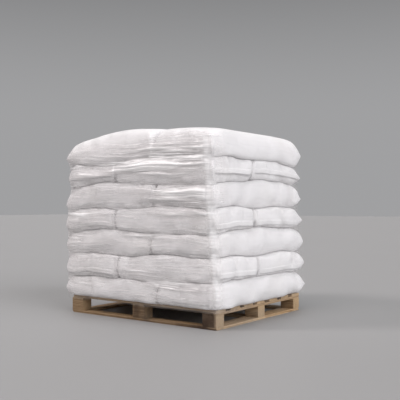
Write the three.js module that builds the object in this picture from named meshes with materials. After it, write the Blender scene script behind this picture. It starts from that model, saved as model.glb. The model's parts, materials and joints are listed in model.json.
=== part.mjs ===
// A loaded pallet: twenty-one filled woven sacks in seven layers of three, on a light
// 1200 x 1000 mm block pallet, wrapped in one skin of clear stretch film.
// Millimetres, +Z up. The origin is on the floor under the middle of the pallet, +X runs
// along the pallet's 1200 mm side and +Y along its 1000 mm side.
//
// Each layer has one sack laid across the pallet and two laid along it. The cross sack is at
// the +X end in the first, third, fifth and seventh layer, and at the -X end in the others,
// so that every joint is covered by the layer above.
import * as THREE from "three";

// Pallet timber
const PALLET_LENGTH = 1200;
const PALLET_WIDTH = 1000;
const BOARD_THICK = 16;
const BLOCK_HEIGHT = 70;
const BLOCK_ALONG = 100; // block size along X, and the width of the boards that run along Y
const BLOCK_ACROSS = 80; // block size along Y, and the width of the bottom runners
const DECK_BOARDS = 7;
const DECK_BOARD_WIDTH = 100;

// Heights, from the floor up
const BLOCK_BASE = BOARD_THICK;
const STRINGER_BASE = BLOCK_BASE + BLOCK_HEIGHT;
const DECK_BASE = STRINGER_BASE + BOARD_THICK;
const DECK_TOP = DECK_BASE + BOARD_THICK;

// Load
const LAYER_PITCH = 147;
const TOP_CROWN = 232; // height of the free upper layer at its crown
const CLEAR = 0.3; // gap that touching sacks keep
const HALF_ACROSS = 540; // half of the load's width along Y
const TIP_SHARE = 0.42; // height of a sack's widest line, as a share of its layer
const OUTER_RADIUS = 85; // plan radius at a corner of the load
const INNER_RADIUS = 38; // plan radius at a corner that meets another sack

// How far a sack's rounded edge reaches in from its widest line, in plan
const EDGE_REACH = { outerUp: 100, outerDown: 72, innerUp: 34, innerDown: 30 };
const CROWN_REACH = { end: 420, side: 250, inner: 90 };

// Each layer's ends along X, and the face where its cross sack meets the two long ones
const LAYERS = [
  { low: -650, high: 650, joint: 180, crossEnd: 1, split: 0 },
  { low: -650, high: 646, joint: -150, crossEnd: -1, split: -105 },
  { low: -650, high: 634, joint: 140, crossEnd: 1, split: 20 },
  { low: -650, high: 626, joint: -170, crossEnd: -1, split: -105 },
  { low: -650, high: 614, joint: 150, crossEnd: 1, split: -15 },
  { low: -622, high: 607, joint: -185, crossEnd: -1, split: -120 },
  { low: -650, high: 614, joint: 130, crossEnd: 1, split: 10 },
];
const TOP_LAYER = LAYERS.length - 1;
const LAYERS_BASE = DECK_TOP;

// Stretch film, as one skin thick enough to be a solid
const FILM_THICK = 1;
const FILM_CLEAR = 0.6;
const FILM_BASE = STRINGER_BASE + 3; // hem, just over the fork openings
const FILM_SAG = 17; // how far the film is drawn in between two layers
const FILM_SPAN_SAG = 10; // the same, where it spans a layer that stands back
const FILM_RISE = 84; // how far the film climbs above the top layer's widest line
const SHOULDER_SLACK = 0.93; // share of the top layer's own slope that the film follows there
const DECK_CORNER_RADIUS = 1;

const pine = new THREE.MeshStandardMaterial({ color: 0xb99a73, roughness: 0.85, metalness: 0 });
const block_wood = new THREE.MeshStandardMaterial({ color: 0xa88a66, roughness: 0.9, metalness: 0 });
const woven_sack = new THREE.MeshStandardMaterial({ color: 0xe9e7e6, roughness: 0.6, metalness: 0 });
const clear_film = new THREE.MeshStandardMaterial({
  color: 0xf2f2f4,
  roughness: 0.15,
  metalness: 0,
  transparent: true,
  opacity: 0.25,
});

const group = new THREE.Group();

function addMesh(name, geometry, material) {
  const mesh = new THREE.Mesh(geometry, material);
  mesh.name = name;
  group.add(mesh);
  return mesh;
}

// A squared piece of timber, by the middle of its underside.
function addTimber(name, [x, y, base], [sizeX, sizeY, sizeZ], material) {
  const mesh = addMesh(name, new THREE.BoxGeometry(sizeX, sizeY, sizeZ), material);
  mesh.position.set(x, y, base + sizeZ / 2);
}

function addPallet() {
  const columns = [-1, 0, 1].map((side) => (side * (PALLET_LENGTH - BLOCK_ALONG)) / 2);
  const rows = [-1, 0, 1].map((side) => (side * (PALLET_WIDTH - BLOCK_ACROSS)) / 2);
  const runner = [PALLET_LENGTH, BLOCK_ACROSS, BOARD_THICK];
  rows.forEach((y, i) => addTimber(`bottom_runner_${i + 1}`, [0, y, 0], runner, pine));

  // Short boards close the base between the runners at both ends.
  const fillLength = rows[1] - rows[0] - BLOCK_ACROSS;
  let fill = 0;
  for (const x of [columns[0], columns[2]]) {
    for (const y of [(rows[0] + rows[1]) / 2, (rows[1] + rows[2]) / 2]) {
      fill += 1;
      addTimber(`bottom_filler_${fill}`, [x, y, 0], [BLOCK_ALONG, fillLength, BOARD_THICK], pine);
    }
  }

  let block = 0;
  for (const x of columns) {
    for (const y of rows) {
      block += 1;
      const size = [BLOCK_ALONG, BLOCK_ACROSS, BLOCK_HEIGHT];
      addTimber(`block_${block}`, [x, y, BLOCK_BASE], size, block_wood);
    }
  }

  const stringer = [BLOCK_ALONG, PALLET_WIDTH, BOARD_THICK];
  columns.forEach((x, i) => {
    addTimber(`stringer_board_${i + 1}`, [x, 0, STRINGER_BASE], stringer, pine);
  });

  const deckPitch = (PALLET_WIDTH - DECK_BOARD_WIDTH) / (DECK_BOARDS - 1);
  for (let i = 0; i < DECK_BOARDS; i += 1) {
    const y = (i - (DECK_BOARDS - 1) / 2) * deckPitch;
    const size = [PALLET_LENGTH, DECK_BOARD_WIDTH, BOARD_THICK];
    addTimber(`deck_board_${i + 1}`, [0, y, DECK_BASE], size, pine);
  }
}

// A rectangle with four round corners, anticlockwise from the +X side's lower end.
// radii go round from the low X, low Y corner; between says how many points each side adds.
function roundedRectangle({ x0, x1, y0, y1 }, radii, cornerSteps, between) {
  const corners = [
    { x: x0, y: y0, sx: 1, sy: 1, turn: Math.PI },
    { x: x1, y: y0, sx: -1, sy: 1, turn: 1.5 * Math.PI },
    { x: x1, y: y1, sx: -1, sy: -1, turn: 0 },
    { x: x0, y: y1, sx: 1, sy: -1, turn: 0.5 * Math.PI },
  ];
  const arcs = corners.map(({ x, y, sx, sy, turn }, i) => {
    const r = radii[i];
    const arc = [];
    for (let k = 0; k <= cornerSteps; k += 1) {
      const angle = turn + (k / cornerSteps) * (Math.PI / 2);
      const centre = [x + sx * r, y + sy * r];
      arc.push([centre[0] + r * Math.cos(angle), centre[1] + r * Math.sin(angle)]);
    }
    return arc;
  });
  const points = [];
  arcs.forEach((arc, i) => {
    points.push(...arc);
    const from = arc[arc.length - 1];
    const to = arcs[(i + 1) % 4][0];
    const extra = between[i % 2];
    for (let k = 1; k <= extra; k += 1) {
      const t = k / (extra + 1);
      points.push([from[0] + t * (to[0] - from[0]), from[1] + t * (to[1] - from[1])]);
    }
  });
  return points;
}

// Rings of equal point counts, joined in order. closed joins the last ring to the first;
// otherwise each end gets a cap round its middle point.
function skinOf(rings, closed = false) {
  const count = rings[0].length;
  const vertices = rings.flat();
  const faces = [];
  const last = closed ? rings.length : rings.length - 1;
  for (let r = 0; r < last; r += 1) {
    const low = r * count;
    const high = ((r + 1) % rings.length) * count;
    for (let i = 0; i < count; i += 1) {
      const next = (i + 1) % count;
      faces.push(low + i, low + next, high + next, low + i, high + next, high + i);
    }
  }
  if (!closed) {
    const middle = (ring) => [0, 1, 2].map((k) => ring.reduce((s, p) => s + p[k], 0) / count);
    const bottom = vertices.push(middle(rings[0])) - 1;
    const top = vertices.push(middle(rings[rings.length - 1])) - 1;
    const topRing = (rings.length - 1) * count;
    for (let i = 0; i < count; i += 1) {
      const next = (i + 1) % count;
      faces.push(bottom, next, i, top, topRing + i, topRing + next);
    }
  }
  const geometry = new THREE.BufferGeometry();
  geometry.setAttribute("position", new THREE.Float32BufferAttribute(vertices.flat(), 3));
  geometry.setIndex(faces);
  geometry.computeVertexNormals();
  return geometry;
}

// Share of the height gained at a share of the way in from the widest line: a soft, slightly
// pointed edge that turns into a level face.
const EDGE_ROUND = 2;
const EDGE_POINT = 1.25;
const riseAt = (share) => Math.pow(1 - Math.pow(1 - share, EDGE_ROUND), 1 / EDGE_POINT);
const shareAt = (rise) => 1 - Math.pow(1 - Math.pow(rise, EDGE_POINT), 1 / EDGE_ROUND);

const LOWER_SHARES = [1, 0.62, 0.3, 0.1];
const UPPER_SHARES = [0, 0.08, 0.24, 0.5, 0.78, 1];
const CROWN_SHARES = [0, 0.05, 0.14, 0.3, 0.5, 0.75, 1];
const CORNER_STEPS = 3;
const RADIUS_LOSS = 0.45; // share of its plan radius that a corner loses on the way in

// One ring of a sack at a share of the way in; reaches hold that way for each of its sides.
function sackRing(box, radii, reaches, share, z) {
  const inset = {
    x0: box.x0 + reaches.x0 * share,
    x1: box.x1 - reaches.x1 * share,
    y0: box.y0 + reaches.y0 * share,
    y1: box.y1 - reaches.y1 * share,
  };
  const shrunk = radii.map((r) => r * (1 - RADIUS_LOSS * share));
  const between = box.x1 - box.x0 > box.y1 - box.y0 ? [3, 1] : [1, 3];
  const points = roundedRectangle(inset, shrunk, CORNER_STEPS, between);
  return points.map(([x, y]) => [x, y, z]);
}

const tipHeight = (level) => LAYERS_BASE + LAYER_PITCH * (level + TIP_SHARE);

// A filled sack in its place. outer says which of its sides are on the outside of the load.
function addSack(name, box, outer, level) {
  const base = LAYERS_BASE + LAYER_PITCH * level + CLEAR;
  const crowned = level === TOP_LAYER;
  const top = LAYERS_BASE + LAYER_PITCH * level + (crowned ? TOP_CROWN : LAYER_PITCH);
  const tip = tipHeight(level);
  const sides = ["x0", "x1", "y0", "y1"];
  const pick = (choose) => Object.fromEntries(sides.map((side) => [side, choose(side)]));
  const down = pick((side) => (outer[side] ? EDGE_REACH.outerDown : EDGE_REACH.innerDown));
  const alongX = box.x1 - box.x0 > box.y1 - box.y0;
  const crownReach = (side) => {
    if (!outer[side]) return CROWN_REACH.inner;
    return side.startsWith("x") === alongX ? CROWN_REACH.end : CROWN_REACH.side;
  };
  const plainReach = (side) => (outer[side] ? EDGE_REACH.outerUp : EDGE_REACH.innerUp);
  const up = pick(crowned ? crownReach : plainReach);
  const radii = [
    ["x0", "y0"],
    ["x1", "y0"],
    ["x1", "y1"],
    ["x0", "y1"],
  ].map((pair) => (pair.every((side) => outer[side]) ? OUTER_RADIUS : INNER_RADIUS));

  const rings = LOWER_SHARES.map((share) => {
    return sackRing(box, radii, down, share, tip - (tip - base) * riseAt(share));
  });
  for (const share of crowned ? CROWN_SHARES : UPPER_SHARES) {
    rings.push(sackRing(box, radii, up, share, tip + (top - tip) * riseAt(share)));
  }
  addMesh(name, skinOf(rings), woven_sack);
}

function addLoad() {
  LAYERS.forEach(({ low, high, joint, crossEnd, split }, level) => {
    const half = CLEAR / 2;
    const across = { y0: -HALF_ACROSS, y1: HALF_ACROSS };
    const atHigh = crossEnd > 0;
    const cross = atHigh
      ? { x0: joint + half, x1: high, ...across }
      : { x0: low, x1: joint - half, ...across };
    const along = atHigh ? { x0: low, x1: joint - half } : { x0: joint + half, x1: high };
    const front = { ...along, y0: -HALF_ACROSS, y1: split - half };
    const back = { ...along, y0: split + half, y1: HALF_ACROSS };
    const label = `layer${level + 1}`;
    const crossOuter = { x0: !atHigh, x1: atHigh, y0: true, y1: true };
    const alongOuter = { x0: atHigh, x1: !atHigh };
    addSack(`sack_${label}_cross`, cross, crossOuter, level);
    addSack(`sack_${label}_front`, front, { ...alongOuter, y0: true, y1: false }, level);
    addSack(`sack_${label}_back`, back, { ...alongOuter, y0: false, y1: true }, level);
  });
}

const FILM_BETWEEN = [4, 3];
const outerRadius = (share) => OUTER_RADIUS * (1 - RADIUS_LOSS * share);

// Where the film passes a layer's end: at the layer itself, or on a tighter line where the
// layer stands back from both of its neighbours.
function filmEnd(end, level) {
  const own = LAYERS[level][end];
  if (level === 0 || level === TOP_LAYER) return own;
  const span = (LAYERS[level - 1][end] + LAYERS[level + 1][end]) / 2;
  return end === "high" ? Math.max(own, span - FILM_SPAN_SAG) : Math.min(own, span + FILM_SPAN_SAG);
}

// The film's levels: at each height, the rectangle that it encloses and its corner radius.
function filmLevels() {
  const levels = [];
  const add = (z, low, high, halfAcross, radius) => {
    levels.push({ z, low, high, halfAcross, radius });
  };
  const deckX = PALLET_LENGTH / 2;
  const deckY = PALLET_WIDTH / 2;
  add(FILM_BASE, -deckX, deckX, deckY, DECK_CORNER_RADIUS);
  add(DECK_TOP + CLEAR, -deckX, deckX, deckY, DECK_CORNER_RADIUS);

  // Up the underside of the first layer.
  const first = LAYERS[0];
  const firstTip = tipHeight(0);
  for (const share of [0.62, 0.3, 0.1]) {
    const inset = EDGE_REACH.outerDown * share;
    const z = firstTip - (firstTip - LAYERS_BASE) * riseAt(share);
    const reach = HALF_ACROSS - inset;
    add(z, first.low + inset, first.high - inset, reach, outerRadius(share));
  }

  // From each widest line over the notch to the next.
  for (let level = 0; level <= TOP_LAYER; level += 1) {
    const tip = tipHeight(level);
    add(tip, filmEnd("low", level), filmEnd("high", level), HALF_ACROSS, OUTER_RADIUS);
    if (level === TOP_LAYER) break;
    for (const share of [0.25, 0.5, 0.75]) {
      const sag = FILM_SAG * Math.sin(Math.PI * share);
      const ease = share * share * (3 - 2 * share);
      const drawn = (end) => THREE.MathUtils.lerp(filmEnd(end, level), filmEnd(end, level + 1), ease);
      const reach = HALF_ACROSS - sag;
      const radius = outerRadius(sag / EDGE_REACH.outerUp);
      add(tip + LAYER_PITCH * share, drawn("low") + sag, drawn("high") - sag, reach, radius);
    }
  }

  // Over the shoulder of the top layer, whose ends fall away faster than its sides.
  const top = LAYERS[TOP_LAYER];
  const tip = tipHeight(TOP_LAYER);
  const crown = LAYERS_BASE + LAYER_PITCH * TOP_LAYER + TOP_CROWN;
  for (const share of [0.3, 0.65, 1]) {
    const z = tip + FILM_RISE * share;
    const way = shareAt((z - tip) / (crown - tip));
    const inset = CROWN_REACH.side * way * SHOULDER_SLACK;
    const reach = HALF_ACROSS - inset;
    add(z, top.low + inset, top.high - inset, reach, outerRadius(way * SHOULDER_SLACK));
  }
  return levels;
}

function addFilm() {
  const ringAt = ({ z, low, high, halfAcross, radius }, offset) => {
    const box = {
      x0: low - offset,
      x1: high + offset,
      y0: -halfAcross - offset,
      y1: halfAcross + offset,
    };
    const radii = Array(4).fill(radius + offset);
    const points = roundedRectangle(box, radii, CORNER_STEPS, FILM_BETWEEN);
    return points.map(([x, y]) => [x, y, z]);
  };
  const levels = filmLevels();
  const outside = levels.map((level) => ringAt(level, FILM_CLEAR + FILM_THICK));
  const inside = levels.map((level) => ringAt(level, FILM_CLEAR)).reverse();
  addMesh("stretch_film", skinOf([...outside, ...inside], true), clear_film);
}

addPallet();
addLoad();
addFilm();

export default group;
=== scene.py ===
"""A loaded pallet: twenty-one filled woven sacks in seven layers, on a wooden block pallet,
wrapped in clear stretch film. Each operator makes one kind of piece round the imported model."""

import json
import math
import random

import bmesh
import bpy
import numpy as np
from bpy.props import FloatProperty, FloatVectorProperty, IntProperty, PointerProperty
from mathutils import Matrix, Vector, noise
from mathutils.bvhtree import BVHTree

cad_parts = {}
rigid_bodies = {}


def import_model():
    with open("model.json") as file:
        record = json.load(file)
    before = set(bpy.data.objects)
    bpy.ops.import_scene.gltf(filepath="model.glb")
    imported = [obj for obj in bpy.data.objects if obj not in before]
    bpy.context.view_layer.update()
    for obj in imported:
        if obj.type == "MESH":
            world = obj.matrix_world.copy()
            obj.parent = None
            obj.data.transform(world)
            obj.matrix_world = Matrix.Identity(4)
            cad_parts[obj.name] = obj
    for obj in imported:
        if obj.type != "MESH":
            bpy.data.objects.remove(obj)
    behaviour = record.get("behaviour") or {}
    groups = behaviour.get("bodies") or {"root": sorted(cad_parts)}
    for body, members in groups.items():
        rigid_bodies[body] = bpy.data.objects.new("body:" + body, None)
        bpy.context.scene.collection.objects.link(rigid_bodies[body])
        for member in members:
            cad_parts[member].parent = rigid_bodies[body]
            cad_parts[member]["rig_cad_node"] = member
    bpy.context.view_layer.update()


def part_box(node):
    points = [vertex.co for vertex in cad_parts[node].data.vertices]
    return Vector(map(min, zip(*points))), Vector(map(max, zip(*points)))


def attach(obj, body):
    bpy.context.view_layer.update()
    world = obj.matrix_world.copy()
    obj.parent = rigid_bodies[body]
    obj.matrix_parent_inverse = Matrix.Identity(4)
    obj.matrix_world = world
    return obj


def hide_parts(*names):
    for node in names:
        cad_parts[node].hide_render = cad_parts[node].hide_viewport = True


bl_info = {
    "name": "Pallet of sacks",
    "version": (1, 0, 0),
    "blender": (4, 5, 0),
    "location": "View3D > Sidebar > Pallet",
    "description": "Sacks, stretch film, pallet boards and a pale stage round a packed model",
    "category": "Object",
}

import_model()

# The stack, in metres: three sacks to a layer, from the deck to the crown of the top layer
LAYERS = range(1, 8)
TOP_LAYER = 7
PARTS = ("cross", "front", "back")
LAYER_PITCH = 0.147
DECK_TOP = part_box("deck_board_1")[1].z
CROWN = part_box("sack_layer7_cross")[1].z
PALLET_HALF = Vector((0.6, 0.5))
LOAD_HALF = (0.65, 0.54)

# How far each seam above a layer lies over its even height, in millimetres, along one side of
# the load: at the low end, over the first sack, at the joint, over the next sack, at the high end.
SEAM_RISE = {
    "front": {
        1: (-16, -4, -9, 3, 2),
        2: (-20, 2, -12, 14, -4),
        3: (-20, 15, -8, -8, -8),
        4: (-33, 6, -6, 16, -3),
        5: (-16, 27, 2, -4, -8),
        6: (14, -14, -8, 20, 11),
    },
    "right": {
        1: (12, 18, 18, 16, 8),
        2: (0, 11, -6, 6, -4),
        3: (0, 22, 30, 14, 4),
        4: (0, 15, -3, 11, -2),
        5: (2, 18, 36, 30, 14),
        6: (10, 24, 8, 16, -16),
    },
    "back": {
        1: (-10, 6, -8, 5, 0),
        2: (-6, 4, -12, 12, -8),
        3: (-12, 14, -9, 4, -4),
        4: (-16, 6, -10, 18, -6),
        5: (-8, 20, -6, 3, 0),
        6: (0, -2, -10, 16, -8),
    },
    "left": {
        1: (-8, 8, -8, 6, -6),
        2: (-12, 2, 10, 6, -8),
        3: (-14, 12, -8, 10, -10),
        4: (-20, -2, 10, 2, -12),
        5: (-12, 14, -6, 12, -8),
        6: (10, -8, -10, -4, 2),
    },
}

# The swollen sacks: flat length and width of their places in metres, and the shares of their
# flat volume that a crowned long sack and a crowned cross sack are filled to
LONG_SIZE = (0.80, 0.55)
CROSS_SIZE = (1.08, 0.48)
LONG_FILL = 0.066
CROSS_FILL = 0.080

# The sack cloth in the simulation: light, and filled by pressure alone
CLOTH_FEEL = {
    "quality": 6, "mass": 0.15, "air_damping": 2, "use_pressure": True,
    "tension_stiffness": 40, "compression_stiffness": 40,
    "shear_stiffness": 12, "bending_stiffness": 0.1,
    "tension_damping": 10, "compression_damping": 10, "shear_damping": 10,
}

# Rows of cells over which a sack's section is carried on to a joint
CARRIED_ROWS = 11

# By layer: where a sewn hem starts, in metres down from the rim of its sack, and how far it
# stands off. Other layers have hems that lie flat.
HEM_STANDS = {6: (-0.020, 1.0), 4: (0.004, 0.45), 2: (0.004, 0.45)}
FLAT_HEM = (0.006, 0.0)

# Cells of a hem down its depth, cells of the sack over and under its rim that a hem may cover,
# and the thickness of its folded cloth in metres
HEM_ROWS = 4
HEM_OVER = 4
HEM_UNDER = 9
HEM_THICK = 0.0012

# Places on the front where the film is bunched: middle along X, middle height, half length,
# half height and strength, in metres
# There the film is also whiter: partly milky bunched film, partly painted highlight
BUNCHED = (
    (0.32, 0.792, 0.30, 0.048, 1.0), (0.20, 0.975, 0.44, 0.044, 1.0), (0.24, 1.060, 0.42, 0.042, 1.0),
    (0.54, 1.100, 0.14, 0.050, 0.6), (0.50, 0.750, 0.14, 0.030, 0.7), (0.42, 0.670, 0.26, 0.018, 0.8),
    (0.05, 0.305, 0.14, 0.020, 0.6), (0.40, 0.240, 0.30, 0.022, 0.7), (-0.40, 0.930, 0.20, 0.030, 0.3),
    (-0.45, 0.650, 0.20, 0.030, 0.6), (0.10, 0.530, 0.40, 0.020, 0.3), (-0.46, 0.385, 0.16, 0.025, 0.4),
    (0.22, 0.925, 0.42, 0.040, 0.4),
)

# Boards of the pallet: group, how many, the axis that they run along, and cuts along their length
BOARDS = (
    ("bottom_runner", 3, "X", 14), ("bottom_filler", 4, "Y", 6),
    ("stringer_board", 3, "Y", 12), ("deck_board", 7, "X", 14),
)

# Chipped corners: which corner by its signs, the way in from it, and the depth in metres
CHIPPED = {
    "deck_board_1": [((-1, -1, 1), (1, 1.6, -0.4), 0.012), ((1, -1, 1), (-1, 0.8, -2.2), 0.006)],
    "deck_board_4": [((1, 1, 1), (-1, -1, -0.6), 0.010)],
    "bottom_runner_1": [((1, -1, -1), (-1, 1.2, 1.5), 0.007), ((-1, -1, -1), (1.3, 1, 1), 0.008)],
    "bottom_runner_3": [((1, 1, 1), (-1, -0.8, -0.8), 0.008)],
    "stringer_board_3": [((1, 1, -1), (-0.6, -1, 0.8), 0.007)],
}

# Nailed boards: group, how many, where the first nail sits as a share of the width, the share
# to the next, how far a nail strays along Y in metres, and which way its head faces
NAILED = (("deck_board", 7, 0.25, 0.5, 0.006, 1), ("bottom_runner", 3, 0.28, 0.44, 0.005, -1))
NAIL_RADIUS = 0.0036
NAIL_DEPTH = 0.0016

# Lamps: name, turn about Z, rise above the floor and width, all in degrees, and colour
LAMPS = (
    ("key", -8, 28, 50, (0.985, 0.975, 1.0)),
    ("top", -88, 63, 36, (1.0, 0.92, 0.91)),
    ("overhead", 0, 86, 60, (1.0, 1.0, 1.0)),
    ("gleam", -138, 38, 14, (1.0, 0.935, 0.93)),
    ("fill", 140, 45, 70, (1.0, 1.0, 1.0)),
)

# The camera: its place in metres, its tilt from straight down and its turn, in degrees
CAMERA_PLACE = (2.853, -3.699, 0.724)
CAMERA_TILT = 90.48
CAMERA_TURN = 36.53


# Settings


class SackSettings(bpy.types.PropertyGroup):
    """Sizes and finish of the filled sacks"""

    cell: FloatProperty(
        name="Cloth cell", description="Edge of one cell of the sack cloth",
        default=0.0120, min=0.006, unit="LENGTH",
    )
    pressure: FloatProperty(
        name="Fill pressure", description="How hard the filling swells a stacked sack",
        default=4.0, min=0.5,
    )
    spare_length: FloatProperty(
        name="Spare length", description="How much longer than its place a sack is cut",
        default=0.06, unit="LENGTH",
    )
    spare_width: FloatProperty(
        name="Spare width", description="How much wider than its place a sack is cut",
        default=0.075, unit="LENGTH",
    )
    corner: FloatProperty(
        name="Corner radius", description="Radius of the flat sack's corners",
        default=0.045, unit="LENGTH",
    )
    widest_share: FloatProperty(
        name="Widest line", description="Height of a sack's widest line as a share of its layer",
        default=0.42, subtype="FACTOR", min=0.2, max=0.8,
    )
    straight: FloatProperty(
        name="Straightness", description="How far a free side is pressed straight",
        default=0.82, subtype="FACTOR", min=0, max=1,
    )
    straight_inner: FloatProperty(
        name="Straightness at joints", description="The same, where an end meets the next sack",
        default=0.97, subtype="FACTOR", min=0, max=1,
    )
    straight_beside: FloatProperty(
        name="Straightness beside", description="The same, where a long side meets the next sack",
        default=0.93, subtype="FACTOR", min=0, max=1,
    )
    full: FloatProperty(
        name="Fullness", description="How blunt a free rim is", default=1.55, min=1,
    )
    shoulder: FloatProperty(
        name="Shoulder", description="How full the upper half of a stacked sack is",
        default=1.5, min=1,
    )
    full_inner: FloatProperty(
        name="Fullness at joints", description="The same as fullness, beside the next sack",
        default=6.0, min=1,
    )
    hem: FloatProperty(
        name="Sewn hem", description="Depth of the folded hem at a sack's end",
        default=0.031, unit="LENGTH",
    )
    colour: FloatVectorProperty(
        name="Sack colour", description="Colour of the woven sack cloth",
        subtype="COLOR", size=3, default=(0.87, 0.86, 0.865), min=0, max=1,
    )
    tape: FloatProperty(
        name="Tape width", description="Width of one woven tape", default=0.003, unit="LENGTH",
    )


class FilmSettings(bpy.types.PropertyGroup):
    """Sizes and finish of the stretch film"""

    hem_low: FloatProperty(
        name="Lower edge", description="Height of the film's lower edge",
        default=0.1000, unit="LENGTH",
    )
    hem_high: FloatProperty(
        name="Upper edge", description="Mean height of the film's upper edge",
        default=1.140, unit="LENGTH",
    )
    row: FloatProperty(
        name="Row height", description="Height of one row of cells", default=0.0056, unit="LENGTH",
    )
    column: FloatProperty(
        name="Column width", description="Width of one column of cells",
        default=0.0125, unit="LENGTH",
    )
    bridge: FloatProperty(
        name="Bridging radius", description="Radius on which the film sags between two layers",
        default=0.16, unit="LENGTH",
    )
    tight: FloatProperty(
        name="Tight radius", description="Radius on which the film spans gaps along its length",
        default=1.1, unit="LENGTH",
    )
    lift: FloatProperty(
        name="Lift", description="Gap between film and cloth", default=0.0026, unit="LENGTH",
    )
    ridge: FloatProperty(
        name="Ridge height", description="Height of the stretch ridges",
        default=0.0034, unit="LENGTH",
    )
    colour: FloatVectorProperty(
        name="Film colour", description="Tint of the clear film",
        subtype="COLOR", size=3, default=(0.865, 0.83, 0.83), min=0, max=1,
    )


class PalletSettings(bpy.types.PropertyGroup):
    """Sizes and finish of the pallet's wood"""

    bevel: FloatProperty(
        name="Edge bevel", description="Bevel of the sawn edges", default=0.0018, unit="LENGTH",
    )
    warp: FloatProperty(
        name="Warp", description="How far the boards are off true", default=0.0016, unit="LENGTH",
    )
    pale: FloatVectorProperty(
        name="Pale wood", description="Colour of the early wood",
        subtype="COLOR", size=3, default=(0.67, 0.49, 0.30), min=0, max=1,
    )
    dark: FloatVectorProperty(
        name="Dark wood", description="Colour of the late wood",
        subtype="COLOR", size=3, default=(0.31, 0.19, 0.095), min=0, max=1,
    )
    nails: IntProperty(
        name="Nails at a joint", description="Number of nails at each joint", default=2, min=1,
    )


class StageSettings(bpy.types.PropertyGroup):
    """Floor, lamps, surround and lens"""

    floor: FloatVectorProperty(
        name="Floor colour", description="Colour of the plain floor",
        subtype="COLOR", size=3, default=(0.325, 0.325, 0.325), min=0, max=1,
    )
    key: FloatProperty(
        name="Key light", description="Strength of the soft light from the right", default=2.20, min=0,
    )
    top: FloatProperty(
        name="Front light", description="Strength of the soft light from high in front",
        default=0.84, min=0,
    )
    overhead: FloatProperty(
        name="Overhead light", description="Strength of the soft light overhead", default=0.70, min=0,
    )
    gleam: FloatProperty(
        name="Gleam", description="Strength of the smaller lamp that glints on film",
        default=1.05, min=0,
    )
    fill: FloatProperty(
        name="Fill light", description="Strength of the soft light from behind", default=0.40, min=0,
    )
    horizon: FloatProperty(
        name="Backdrop", description="Brightness of the surround near the floor", default=0.36, min=0,
    )
    sky: FloatProperty(
        name="Surround", description="Brightness of the surround higher up", default=0.12, min=0,
    )
    lens: FloatProperty(
        name="Lens", description="Focal length of the camera in millimetres", default=60.86, min=1,
    )


# Meshes and numbers


def link(obj):
    bpy.context.scene.collection.objects.link(obj)
    return obj


def deselect_all():
    if bpy.context.mode != "OBJECT":
        bpy.ops.object.mode_set(mode="OBJECT")
    bpy.ops.object.select_all(action="DESELECT")


def mesh_object(name, points, faces):
    mesh = bpy.data.meshes.new(name)
    mesh.from_pydata([tuple(p) for p in points], [], [tuple(f) for f in faces])
    mesh.update()
    return link(bpy.data.objects.new(name, mesh))


def smooth(mesh):
    mesh.polygons.foreach_set("use_smooth", [True] * len(mesh.polygons))


def points_of(mesh):
    flat = np.empty(len(mesh.vertices) * 3)
    mesh.vertices.foreach_get("co", flat)
    return flat.reshape(-1, 3)


def mark_points(mesh, name, values):
    """Keeps a number, or a vector, at every point of a mesh for its material to read."""
    values = np.asarray(values, dtype=float)
    kind, key = ("FLOAT", "value") if values.ndim == 1 else ("FLOAT_VECTOR", "vector")
    mesh.attributes.new(name, kind, "POINT").data.foreach_set(key, values.ravel())


def map_corners(mesh, name, places):
    """Gives a mesh a UV map from the place of every face corner."""
    mesh.uv_layers.new(name=name).data.foreach_set("uv", places.ravel())


def finish_piece(obj, slot, *nodes):
    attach(obj, "root")
    if nodes:
        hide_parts(*nodes)
    return obj


def between(low, high, share, from_high=False):
    """The place at a share of the way from low to high, or from high to low."""
    return high - share * (high - low) if from_high else low + share * (high - low)


def ease(t):
    """A share from 0 to 1 with soft ends."""
    t = np.clip(t, 0.0, 1.0)
    return t * t * (3 - 2 * t)


def hump(value, middle, reach):
    """A smooth hump along a line: 1 at its middle, and about a third at its reach."""
    return np.exp(-((value - middle) / reach) ** 2)


def spot(x, y, middle, reach):
    """A smooth hump in the plane, with a reach along X and one along Y."""
    return np.exp(-(((x - middle[0]) / reach[0]) ** 2 + ((y - middle[1]) / reach[1]) ** 2))


def ripples(x, y, size, seed, waves=7):
    """A smooth uneven field in the plane, about -1 to 1."""
    draw = random.Random(seed)
    total = np.zeros_like(np.asarray(x, dtype=float))
    for _ in range(waves):
        turn = draw.uniform(0, math.tau)
        pitch = size * draw.uniform(0.7, 1.6)
        shift = draw.uniform(0, math.tau)
        run = x * math.cos(turn) + y * math.sin(turn)
        total = total + np.sin(run * math.tau / pitch + shift)
    return total / math.sqrt(waves) / 1.4


# Materials


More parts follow.
